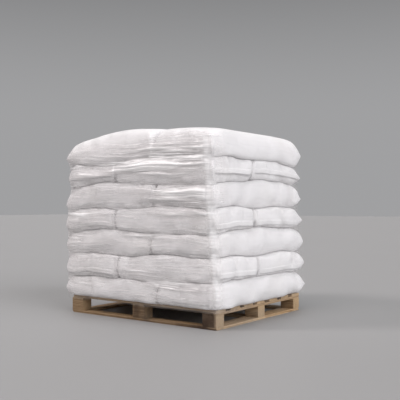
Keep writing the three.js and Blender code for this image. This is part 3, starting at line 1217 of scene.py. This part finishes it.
def seam_height(layer, x, y):
    """Height of the surface where a layer meets the one above it."""
    if layer == 0:
        return np.full_like(x, DECK_TOP)
    even = DECK_TOP + LAYER_PITCH * layer
    nearest = 0.02
    sides = (
        ("front", x, y + PALLET_HALF.y), ("back", x, PALLET_HALF.y - y),
        ("left", y, x + PALLET_HALF.x), ("right", y, PALLET_HALF.x - x),
    )
    total = np.zeros_like(x)
    weights = np.zeros_like(x)
    for side, t, distance in sides:
        weight = 1 / np.maximum(distance, nearest) ** 2
        total += weight * side_curve(layer, side, t)
        weights += weight
    return even + total / weights + 0.0030 * ripples(x, y, 0.26, 90 + layer)


def crown_height(x, y):
    """Height of the load's domed top, which falls towards its ends and its sides."""
    ends = np.clip((LOAD_HALF[0] - np.abs(x)) / 0.42, 0, 1)
    sides = np.clip((LOAD_HALF[1] - np.abs(y)) / 0.27, 0, 1)
    end_fall = 0.34 - 0.08 * ease(x / 0.5)
    side_fall = 0.26 - 0.05 * ease(x / 0.5) * ease(y / 0.3) - 0.08 * ease(x / 0.4) * ease(-y / 0.3)
    end_round = 1 - np.sqrt(1 - (1 - ends) ** 2)
    side_round = 1 - np.sqrt(1 - (1 - sides) ** 2)
    fall = end_fall * end_round + side_fall * side_round
    fall = fall + 0.12 * ease((-x - 0.1) / 0.5) + 0.085 * ease((x + 0.15) / 0.4)
    return CROWN - fall * (CROWN - DECK_TOP - LAYER_PITCH * 6)


def round_corner(x, y):
    """Rounds the load in plan at its +X -Y corner, where the film is drawn tightest."""
    radius, share = 0.16, 0.6
    a = np.maximum((x - LOAD_HALF[0]) / radius + 1, 0)
    b = np.maximum((-y - LOAD_HALF[1]) / radius + 1, 0)
    inward = 1 - np.maximum(a, b) / np.maximum(np.hypot(a, b), 1e-9)
    inward = np.where((a > 0) & (b > 0), inward, 0) * share * radius
    return x - a * inward, y + b * inward


class PlacedSack:
    """A swollen sack in the place of one solid, between the seams under and over it."""

    def __init__(self, kind, layer, part, settings, seed):
        self.kind, self.layer, self.part = kind, layer, part
        self.crowned = layer == TOP_LAYER
        self.low, self.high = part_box(f"sack_layer{layer}_{part}")
        self.cross_high = layer_places(layer)[1]
        self.lay_out(seed)
        self.fill_corners()
        self.make_uneven(seed)
        points = np.stack([self.x, self.y, self.stack_up(settings)], axis=-1)
        self.points = self.with_blunt_ears(points)

    def lay_out(self, seed):
        """Finds the sack's place in plan, how near each point is to a free end or side, and
        whether its faces are turned over by that."""
        low, high = self.low, self.high
        along, across = self.kind.along, self.kind.across
        if self.part == "cross":
            reverse = random.Random(seed).random() < 0.5
            along = 1 - along if reverse else along
            self.x = between(low.x, high.x, across, from_high=not self.cross_high)
            self.y = between(low.y, high.y, along)
            self.free_x, self.free_y = across, np.abs(2 * along - 1)
            self.flipped = reverse == self.cross_high
        else:
            self.x = between(low.x, high.x, along, from_high=self.cross_high)
            self.y = between(low.y, high.y, across, from_high=self.part == "front")
            self.free_x, self.free_y = along, across
            self.flipped = self.cross_high != (self.part == "back")

    def fill_corners(self):
        """Makes the sack fuller at the load's left end and its two +X corners."""
        left_end = ease((-self.x - 0.42) / 0.2)
        near_corner = spot(self.x, self.y, (0.64, -0.54), (0.16, 0.16))
        far_corner = spot(self.x, self.y, (0.64, 0.54), (0.12, 0.12))
        far_power = 1.6 if self.crowned else (-0.35 if self.part == "cross" else 0.1)
        power = 1 + 1.0 * left_end + 1.8 * near_corner + far_power * far_corner
        flat = self.kind.flat
        self.height = blunted(self.kind.height, flat, power[flat.lower])
        if self.crowned:
            self.height = np.clip(self.height, 0, 1) ** (1 - 0.40 * far_corner)

    def make_uneven(self, seed):
        """Gives the free sides lumps, and the joints to the next sacks a wavering line."""
        x, y, height = self.x, self.y, self.height
        outward_x = 1 if (self.low.x + self.high.x) > 0 else -1
        outward_y = np.sign(y) if self.part == "cross" else (-1 if self.part == "front" else 1)
        lump, pitch, drawn_in = 0.0045, 0.17, 0.003
        lump_x = lump * ripples(y, height * 0.16, pitch, seed + 1)
        lump_y = lump * ripples(x, height * 0.16, pitch, seed + 2)
        x = x + outward_x * (lump_x - drawn_in) * ease((self.free_x - 0.7) / 0.3)
        y = y + outward_y * (lump_y - drawn_in) * ease((self.free_y - 0.7) / 0.3)
        joint, split = layer_joints(self.layer)
        waver, pitch, reach = 0.011, 0.19, 0.07
        rise = height * LAYER_PITCH
        x = x + waver * ripples(y, rise, pitch, 300 + self.layer) * hump(x, joint, reach)
        if self.part != "cross":
            y = y + waver * ripples(x, rise, pitch, 400 + self.layer) * hump(y, split, reach)
        self.x, self.y = round_corner(x, y)

    def stack_up(self, settings):
        """Heights above the floor, between the seams or under the crown of the load."""
        x, y, layer = self.x, self.y, self.layer
        gap = 0.0004
        under = seam_height(layer - 1, x, y) + gap
        if self.crowned:
            return under + (crown_height(x, y) - under) * self.height
        over = seam_height(layer, x, y) - gap
        left_corner = spot(x, y, (-0.64, -0.54), (0.16, 0.20))
        widest = settings.widest_share - (0.16 if layer == 5 else 0.06) * left_corner
        level = np.clip(self.height, 0, 1) ** (np.log(widest) / math.log(0.5))
        above = np.clip((level - widest) / (1 - widest), 0, 1)
        fuller = widest + (1 - widest) * (1 - (1 - above) ** settings.shoulder)
        return under + (over - under) * np.where(level > widest, fuller, level)

    def with_blunt_ears(self, points):
        """Smooths the pointed corners of the sack, and the whole of a crowned one a little."""
        x, y, _ = points.T
        reach = 0.035
        ear_x, ear_y = np.maximum(0.64 - np.abs(x), 0), np.maximum(0.535 - np.abs(y), 0)
        ears = 0.6 * np.exp(-ear_x / reach - ear_y / reach)
        if self.crowned:
            ears = np.maximum(ears, 0.35)
        return relaxed(points, self.kind.flat.faces, ears, 14)

    def skin(self):
        """Faces of the sack, and the cloth place of every corner of them."""
        faces, corners = self.kind.flat.faces, self.kind.flat.cloth_map()
        if self.flipped:
            faces, corners = faces[:, ::-1], corners[:, ::-1]
        return faces, corners.reshape(-1, 2)


def sack_piece(name, placed, settings, cloth, hem_cloth):
    """Makes one sack with its hems, and hides the solid that it stands for."""
    faces, corners = placed.skin()
    hem_points, hem_faces, hem_map = sewn_hems(placed, faces, settings)
    hem_faces = [[i + len(placed.points) for i in face] for face in hem_faces]
    all_points = np.concatenate([placed.points, hem_points])
    piece = mesh_object(name, all_points, faces.tolist() + hem_faces)
    map_corners(piece.data, "cloth", np.concatenate([corners, hem_map]))
    piece.data.materials.append(cloth)
    piece.data.materials.append(hem_cloth)
    slots = np.zeros(len(piece.data.polygons), dtype=np.int32)
    slots[len(faces):] = 1
    piece.data.polygons.foreach_set("material_index", slots)
    smooth(piece.data)
    finish_piece(piece, "woven_sack", f"sack_layer{placed.layer}_{placed.part}")
    return piece


def face_turns(points, faces):
    """Outward direction of every four-cornered face, as long as twice its area."""
    quads = points[faces]
    return np.cross(quads[:, 2] - quads[:, 0], quads[:, 3] - quads[:, 1])


def outward_of(points, faces):
    """Outward direction at every point of a closed mesh."""
    normals = np.zeros_like(points)
    facing = face_turns(points, faces)
    for corner in range(4):
        np.add.at(normals, faces[:, corner], facing)
    return normals / np.maximum(np.linalg.norm(normals, axis=1, keepdims=True), 1e-12)


def soothed_across(grid, times):
    """Smooths rows of vectors along each row, with the ends of the rows kept."""
    for _ in range(times):
        grid[:, 1:-1] = (grid[:, :-2] + 2 * grid[:, 1:-1] + grid[:, 2:]) / 4


def hem_course(sheets, points, normals, places, skip):
    """The cloth that a hem lies on: places and outward directions, row by row down the hem."""
    grid, above = sheets
    grid = np.concatenate([above[HEM_OVER:0:-1, skip:-skip], grid[: HEM_UNDER + 1, skip:-skip]])
    base = np.empty((len(places), grid.shape[1], 3))
    out = np.empty_like(base)
    for column in range(grid.shape[1]):
        line, facing = points[grid[:, column]], normals[grid[:, column]]
        run = np.concatenate([[0], np.cumsum(np.linalg.norm(np.diff(line, axis=0), axis=1))])
        for axis in range(3):
            base[:, column, axis] = np.interp(places, run - run[HEM_OVER], line[:, axis])
            out[:, column, axis] = np.interp(places, run - run[HEM_OVER], facing[:, axis])
    soothed_across(out, 8)
    soothed_across(base, 2)
    out /= np.linalg.norm(out, axis=2, keepdims=True)
    return base, out


def rim_of(index):
    """The points round the rim of a grid, in order."""
    return [*index[0], *index[1:, -1], *index[-1, -2::-1], *index[-2:0:-1, 0]]


def folded_shell(outer, out, settings):
    """Faces and cloth places of a hem: its outside, its lining and the strip round their rims."""
    rows, count = outer.shape[:2]
    index = np.arange(rows * count).reshape(rows, count)
    sheet = FlatSack.cells(index)
    lining = FlatSack.cells(index + rows * count)[:, ::-1]
    ring, ring_back = rim_of(index), rim_of(index + rows * count)
    rim = list(zip(ring, ring[1:] + ring[:1], ring_back[1:] + ring_back[:1], ring_back))
    quads = np.concatenate([sheet, lining, rim])
    turns = face_turns(outer.reshape(-1, 3), sheet)
    if (turns * out.reshape(-1, 3)[sheet[:, 0]]).sum() < 0:
        quads = quads[:, ::-1]
    down = np.broadcast_to(np.linspace(0, settings.hem, rows)[:, None], (rows, count))
    along = np.broadcast_to(np.arange(count)[None, :] * settings.cell, (rows, count))
    place = np.stack([down, along], axis=-1).reshape(-1, 2)
    return quads, np.concatenate([place, place])[quads.ravel()]


def sewn_hems(placed, faces, settings):
    """Folded and stitched hems that hang down over the free ends of a sack."""
    flat, part, layer = placed.kind.flat, placed.part, placed.layer
    normals = outward_of(placed.points, faces)
    top, lay = HEM_STANDS.get(layer, FLAT_HEM)
    skip, ends_reach = (2, 6.0) if lay else (4, 9.0)
    lay = lay * {"back": 0.45, "cross": 0.6 if layer < 6 else 0.2}.get(part, 1.0)
    down = np.linspace(0, 1, HEM_ROWS + 1)[:, None, None]
    made_points, made_faces, made_map = [], [], []
    for end in ("low", "high") if part == "cross" else ("high",):
        sheets = [sheet[::-1] if end == "high" else sheet for sheet in (flat.lower, flat.upper)]
        places = top + down[:, 0, 0] * settings.hem
        base, out = hem_course(sheets, placed.points, normals, places, skip)
        count = base.shape[1]
        wave = 0.0012 * np.sin(np.arange(count) * 0.23 + HEM_ROWS)[None, :, None] * down
        from_ends = np.minimum(np.arange(count), np.arange(count)[::-1])
        loose = ease(from_ends / ends_reach)[None, :, None]
        raised = (0.0012 + 0.0026 * math.sqrt(lay)) * loose
        lift = -0.0006 + raised * ease(down * 4) + (0.0105 * down ** 1.5 + wave) * lay * loose
        outer = base + out * lift
        outer[..., 2] -= 0.004 * down[..., 0] ** 2
        inner = outer - out * HEM_THICK
        quads, corners = folded_shell(outer, out, settings)
        start = sum(len(p) for p in made_points)
        made_points += [outer.reshape(-1, 3), inner.reshape(-1, 3)]
        made_faces += (quads + start).tolist()
        made_map.append(corners)
    return np.concatenate(made_points), made_faces, np.concatenate(made_map)


class PALLET_OT_sacks(bpy.types.Operator):
    """Fills the sacks by cloth simulation and stacks them in seven layers"""

    bl_idname = "pallet.sacks"
    bl_label = "Filled sacks"

    def execute(self, context):
        settings = context.scene.pallet_sacks
        cloth = sack_cloth("woven_sack_cloth", settings)
        hem_cloth = sack_cloth("woven_sack_hem", settings, stitched=True)
        longs = [SwollenSack(*LONG_SIZE, settings, seed) for seed in (3, 4, 5)]
        crosses = [SwollenSack(*CROSS_SIZE, settings, seed, ends_free=True) for seed in (6, 7)]
        top_longs = [SwollenSack(*LONG_SIZE, settings, seed, crowned=LONG_FILL) for seed in (8, 9)]
        top_cross = SwollenSack(*CROSS_SIZE, settings, 10, ends_free=True, crowned=CROSS_FILL)
        for layer in LAYERS:
            for number, part in enumerate(PARTS):
                if layer == TOP_LAYER:
                    kind = top_cross if part == "cross" else top_longs[number - 1]
                elif part == "cross":
                    kind = crosses[layer % 2]
                else:
                    kind = longs[(layer + number) % 3]
                placed = PlacedSack(kind, layer, part, settings, 200 + 10 * layer + number)
                sack_piece(f"sack_{layer}_{part}", placed, settings, cloth, hem_cloth)
        return {"FINISHED"}


# Stretch film


def wrap_path(step):
    """Points and outward directions on a rounded rectangle that clears the load."""
    half_x, half_y, radius = 0.72, 0.62, 0.24
    centres = [
        np.array([way_x * (half_x - radius), way_y * (half_y - radius)])
        for way_x, way_y in ((1, 1), (-1, 1), (-1, -1), (1, -1))
    ]
    points, outward = [], []
    for number, centre in enumerate(centres):
        start = number * 90
        arc = int(round(radius * math.pi / 2 / step))
        for i in range(arc):
            angle = math.radians(start + 90 * i / arc)
            way = np.array([math.cos(angle), math.sin(angle)])
            outward.append(way)
            points.append(centre + radius * way)
        angle = math.radians(start + 90)
        way = np.array([math.cos(angle), math.sin(angle)])
        here, there = centre + radius * way, centres[(number + 1) % 4] + radius * way
        count = int(round(np.linalg.norm(there - here) / step))
        for i in range(count):
            outward.append(way)
            points.append(here + (there - here) * i / count)
    return np.array(points), np.array(outward)


def shifted(field, steps, axis):
    """A grid moved round the load, which is its first axis, or up and down, its second.

    Round the load it closes on itself, and up and down its end rows are repeated."""
    moved = np.roll(field, steps, axis=axis)
    if axis == 1 and steps > 0:
        moved[:, :steps] = field[:, :1]
    elif axis == 1 and steps < 0:
        moved[:, steps:] = field[:, -1:]
    return moved


def spanned(depth, step, radius, axis, reach):
    """Depth of a skin that touches the highest places and sags between them on a radius."""
    limit = int(reach / step)
    bends = [(k, (k * step) ** 2 / (2 * radius)) for k in range(-limit, limit + 1)]
    outer = depth.copy()
    for k, bend in bends:
        outer = np.minimum(outer, shifted(depth, k, axis) + bend)
    skin = outer.copy()
    for k, bend in bends:
        skin = np.maximum(skin, shifted(outer, k, axis) - bend)
    return skin


def load_surface():
    """The sacks and the deck as one tree for rays."""
    points, faces = [], []
    for obj in bpy.data.objects:
        if obj.type != "MESH" or "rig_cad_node" in obj:
            continue
        if not obj.name.startswith(("sack_", "deck_board_")):
            continue
        start = len(points)
        points += [v.co.copy() for v in obj.data.vertices]
        faces += [[start + i for i in p.vertices] for p in obj.data.polygons]
    return BVHTree.FromPolygons(points, faces)


def deck_depth(path, outward):
    """How far inside the path the edge of the deck lies."""
    with np.errstate(divide="ignore"):
        depths = (np.abs(path) - PALLET_HALF) / np.abs(outward)
    depths[np.abs(outward) < 1e-6] = -1
    return depths.max(axis=1)


def touch_depth(path, outward, heights):
    """How far inside the path the load lies, and below the deck's top the edge of the deck."""
    tree = load_surface()
    farthest = 0.6
    depth = np.full(heights.shape, farthest)
    for column, (place, way) in enumerate(zip(path, outward)):
        aim = Vector((-way[0], -way[1], 0))
        for row, height in enumerate(heights[column]):
            hit = tree.ray_cast(Vector((*place, height)), aim, farthest)
            if hit[0] is not None:
                depth[column, row] = hit[3]
    deck = np.minimum(depth, deck_depth(path, outward)[:, None])
    return np.where(heights < DECK_TOP, deck, depth)


def drawn_skin(touch, settings):
    """Depth of the film, drawn over the load between layers and along its length."""
    skin = spanned(touch, settings.row, settings.bridge, 1, 0.13)
    skin = spanned(skin, settings.column, settings.tight, 0, 0.35)
    for _ in range(2):
        for axis in (1, 0):
            skin = (skin + shifted(skin, 1, axis) + shifted(skin, -1, axis)) / 3
    return skin


def faces_front(outward):
    """Share by which the film faces the front, column by column."""
    return ease((-outward[:, 1:] - 0.3) / 0.4)


def clear_line(heights):
    """Turn from the front, in degrees, where the clear +X side begins. It leans with height."""
    return 37.0 - 24.0 * (heights - 0.12)


def upper_hem(path, outward, run, settings):
    """Height of the film's upper edge: wavy, higher near the front's +X end, lower at the
    other corners."""
    waves = 0.006 * np.sin(run * math.tau / run[-1] * 3 + 1) + 0.004 * np.sin(run * 11)
    hem = settings.hem_high + waves
    hem = hem + 0.028 * hump(path[:, 0], 0.47, 0.16) * ease(-outward[:, 1] * 2)
    other_corners = 1 - ease(outward[:, 0] * 3) * ease(-outward[:, 1] * 3)
    hem = hem - 0.042 * (2 * outward[:, 0] * outward[:, 1]) ** 2 * other_corners
    return hem[:, None]


def film_bunching(path, outward, run, heights):
    """Where the film is bunched: by place on the front, and here and there on other sides."""
    front = faces_front(outward)
    total = np.zeros_like(heights)
    for middle, height, long, high, strength in BUNCHED:
        total += strength * spot(path[:, :1], heights, (middle, height), (long, high)) * front
    others = (1 - front) * (1 - ease((outward[:, :1] - 0.3) / 0.4))
    loose = ripples(run[:, None] * 0.35, heights, 0.22, 77)
    return np.clip(total + others * ease((loose - 0.25) / 0.6) * 0.8, 0, 1)


def film_lay(run, heights):
    """Height of every point before the wrap drew it out of line, which the streaks follow."""
    drawn = np.zeros_like(heights)
    for i, s in enumerate(run):
        for j, z in enumerate(heights[i]):
            sway = noise.noise(Vector((s * 2.6, z * 3.6, 11.0)))
            tuck = noise.noise(Vector((s * 6.5, z * 9.0, 4.0)))
            drawn[i, j] = z + 0.012 * s + 0.022 * sway + 0.005 * tuck
    return drawn


def film_ridges(run, lay, haze, bunched):
    """How high the ridges that the stretch draws along the film stand, as shares of their height."""
    high = np.zeros_like(lay)
    for i, s in enumerate(run):
        for j, level in enumerate(lay[i]):
            ridge = noise.noise(Vector((s * 3.0, level * 46.0, 2.0)))
            fold = noise.noise(Vector((s * 1.6, level * 17.0, 7.0)))
            high[i, j] = max(0.0, ridge) * 0.7 + max(0.0, fold) * 1.1
    return high * (0.12 + 0.88 * haze) * (1 + 3.8 * bunched)


def film_haze(outward, heights):
    """How milky the film is: clear on the +X side, streaky on the others."""
    clear = np.broadcast_to(ease((outward[:, :1] - 0.52) / 0.08), heights.shape)
    near = (outward[:, :1] > 0) & (outward[:, 1:] < 0)
    turned = np.degrees(np.arcsin(np.clip(outward[:, :1], 0, 1)))
    clear = np.where(near, ease((turned - clear_line(heights)) / 3.4), clear)
    return 1 - 0.9 * clear


def film_joints(path, side, heights):
    """Where the film runs over the joint between two sacks of a layer."""
    joints = np.zeros_like(heights)
    for layer in LAYERS:
        joint, split = layer_joints(layer)
        middle = DECK_TOP + LAYER_PITCH * (layer - 0.5)
        inside = np.exp(-((heights - middle) / 0.06) ** 4)
        near = hump(path[:, :1], joint, 0.022) * (1 - side)
        if not layer_places(layer)[1]:
            near = near + hump(path[:, 1:], split, 0.03) * side
        joints = np.maximum(joints, near * inside)
    return joints


def film_milk_and_highlight(path, outward, heights, slack, ridges, bunched):
    """How much whiter the film is where it spans a gap or a joint, and along its folds and bunches,
    partly milky film and partly painted highlight; and a painted highlight band round the near corner.
    """
    side = ease((outward[:, :1] - 0.5) / 0.1)
    left = ease((-outward[:, :1] - 0.4) / 0.3)
    far = ease((outward[:, 1:] + 0.1) / 0.4)
    joints = film_joints(path, side, heights)
    gaps = slack * (0.16 + 0.02 * side + 0.28 * left + 0.45 * bunched) * (1 - 0.9 * side * far)
    gaps = gaps * (1 - 0.6 * joints)
    # Folds and bunches whiter: partly milky film, partly painted highlight
    folds = np.clip(ridges, 0, 2.5) * (0.14 + 0.36 * bunched) * (1 - 0.9 * side)
    turned = np.degrees(np.arctan2(outward[:, :1], -outward[:, 1:]))
    past = turned - clear_line(heights)
    # Painted highlight: a white band just past the clear line round the near corner
    corner = 0.45 * hump(past, 12.5, 10.0) + 0.45 * hump(past, 9.0, 5.5)
    return np.clip(gaps + 0.12 * joints + folds + corner + 0.34 * bunched * (1 - side), 0, 0.9)


def rolled_hem(path, outward, below_hem):
    """The upper edge, rolled up and white along the front's +X part."""
    stretch = faces_front(outward) * ease((path[:, :1] + 0.2) / 0.4)
    return 0.40 * stretch * hump(below_hem, 0.009, 0.006)


class PALLET_OT_film(bpy.types.Operator):
    """Stretches the clear film round the load and the edge of the deck"""

    bl_idname = "pallet.film"
    bl_label = "Stretch film"

    def execute(self, context):
        settings = context.scene.pallet_film
        path, outward = wrap_path(settings.column)
        run = np.arange(len(path)) * settings.column
        hem = upper_hem(path, outward, run, settings)
        rows = int(round((settings.hem_high - settings.hem_low) / settings.row)) + 1
        share = np.linspace(0, 1, rows)[None, :]
        heights = settings.hem_low + (hem - settings.hem_low) * share
        touch = touch_depth(path, outward, heights)
        skin = drawn_skin(touch, settings)
        slack = ease((np.minimum(touch, skin + 0.05) - skin) / 0.016)
        bunched = film_bunching(path, outward, run, heights)
        haze = film_haze(outward, heights)
        lay = film_lay(run, heights)
        ridges = film_ridges(run, lay, haze, bunched)
        skin = np.minimum(skin, touch) - settings.lift - ridges * settings.ridge
        edge = ease((hem - heights) / 0.035) * (0.12 + 0.88 * ease((heights - DECK_TOP) / 0.03))
        # The film's whitening: partly milky film, partly painted highlight
        veil = film_milk_and_highlight(path, outward, heights, slack, ridges, bunched) * edge
        veil = veil + rolled_hem(path, outward, hem - heights)
        film = self.closed_band(path, outward, skin, heights)
        self.lay_out(film, run, lay, settings)
        mark_points(film.data, "haze", (haze * edge * (0.75 + 0.9 * bunched)).ravel())
        mark_points(film.data, "veil", veil.ravel())
        film.data.materials.append(clear_film("clear_stretch_film", settings))
        smooth(film.data)
        finish_piece(film, "stretch_film", "stretch_film")
        return {"FINISHED"}

    def closed_band(self, path, outward, skin, heights):
        """The film as a band that closes on itself round the load."""
        x = path[:, :1] - outward[:, :1] * skin
        y = path[:, 1:] - outward[:, 1:] * skin
        points = np.stack([x, y, heights], axis=-1).reshape(-1, 3)
        index = np.arange(skin.size).reshape(skin.shape)
        faces = FlatSack.cells(np.concatenate([index, index[:1]]))
        return mesh_object("stretch_film_wrap", points, faces.tolist())

    def lay_out(self, film, run, lay, settings):
        """Gives the film a map with its run round the load and its lay."""
        columns, rows = lay.shape
        far = np.concatenate([run, [run[-1] + settings.column]])
        grid_u = np.broadcast_to(far[:, None], (columns + 1, rows))
        grid_v = np.concatenate([lay, lay[:1]])
        place = np.stack([grid_u, grid_v], axis=-1).reshape(-1, 2)
        corners = FlatSack.cells(np.arange((columns + 1) * rows).reshape(columns + 1, rows))
        map_corners(film.data, "wrap", place[corners.ravel()])


# Stage


def soft_light(name, turn, rise, width, strength, colour):
    """A distant soft light, from a turn about Z (degrees from +X) and a rise above the floor."""
    lamp = bpy.data.lights.new(name, "SUN")
    lamp.energy = strength
    lamp.color = colour
    lamp.angle = math.radians(width)
    obj = link(bpy.data.objects.new(name, lamp))
    turn, rise = math.radians(turn), math.radians(rise)
    source = Vector((math.cos(turn) * math.cos(rise), math.sin(turn) * math.cos(rise), math.sin(rise)))
    obj.location = source * 5
    obj.rotation_euler = (-source).to_track_quat("-Z", "Y").to_euler()
    return obj


class PALLET_OT_stage(bpy.types.Operator):
    """Lays the pale floor and sets the soft lights and the camera"""

    bl_idname = "pallet.stage"
    bl_label = "Stage, lights and camera"

    def execute(self, context):
        settings = context.scene.pallet_stage
        deselect_all()
        bpy.ops.mesh.primitive_plane_add(size=80, location=(0, 0, 0))
        floor = bpy.context.object
        floor.name = "floor"
        floor.data.materials.append(plain_floor("pale_floor", tuple(settings.floor)))
        self.surround(context.scene, settings)
        for name, turn, rise, width, colour in LAMPS:
            soft_light(name, turn, rise, width, getattr(settings, name), colour)
        camera = link(bpy.data.objects.new("camera", bpy.data.cameras.new("camera")))
        camera.data.lens = settings.lens
        camera.data.sensor_width = 36
        camera.data.clip_end = 200
        camera.location = CAMERA_PLACE
        camera.rotation_euler = (math.radians(CAMERA_TILT), 0, math.radians(CAMERA_TURN))
        context.scene.camera = camera
        context.scene.view_settings.view_transform = "Standard"
        return {"FINISHED"}

    def surround(self, scene, settings):
        """A pale surround, brighter near the floor than higher up."""
        scene.world = bpy.data.worlds.new("pale_surround")
        nodes = Nodes(scene.world)
        up = nodes.axes(nodes.add("TexCoord").outputs["Generated"])[2]
        glow = nodes.spread(up, 0.12, 0.50, settings.horizon, settings.sky)
        nodes.fill(nodes.tree.nodes["Background"], {0: (0.98, 0.98, 1.0, 1), 1: glow})


# Panel and run


class PALLET_PT_parts(bpy.types.Panel):
    """Lists the settings and the operators of the loaded pallet"""

    bl_label = "Pallet of sacks"
    bl_idname = "PALLET_PT_parts"
    bl_space_type = "VIEW_3D"
    bl_region_type = "UI"
    bl_category = "Pallet"

    def draw(self, context):
        groups = (
            ("pallet_wood", ("pallet.boards", "pallet.blocks", "pallet.nails")),
            ("pallet_sacks", ("pallet.sacks",)),
            ("pallet_film", ("pallet.film",)),
            ("pallet_stage", ("pallet.stage",)),
        )
        for group, operators in groups:
            box = self.layout.box()
            settings = getattr(context.scene, group)
            for name in settings.__annotations__:
                box.prop(settings, name)
            for operator in operators:
                box.operator(operator)


SETTINGS = {
    "pallet_sacks": SackSettings, "pallet_film": FilmSettings,
    "pallet_wood": PalletSettings, "pallet_stage": StageSettings,
}
CLASSES = (
    *SETTINGS.values(),
    PALLET_OT_boards, PALLET_OT_blocks, PALLET_OT_nails, PALLET_OT_sacks,
    PALLET_OT_film, PALLET_OT_stage, PALLET_PT_parts,
)


def register():
    for item in CLASSES:
        bpy.utils.register_class(item)
    for name, group in SETTINGS.items():
        setattr(bpy.types.Scene, name, PointerProperty(type=group))


def unregister():
    for name in SETTINGS:
        delattr(bpy.types.Scene, name)
    for item in reversed(CLASSES):
        bpy.utils.unregister_class(item)


def main():
    register()
    bpy.ops.pallet.boards()
    bpy.ops.pallet.blocks()
    bpy.ops.pallet.nails()
    bpy.ops.pallet.sacks()
    bpy.ops.pallet.film()
    bpy.ops.pallet.stage()


if __name__ == "__main__":
    main()
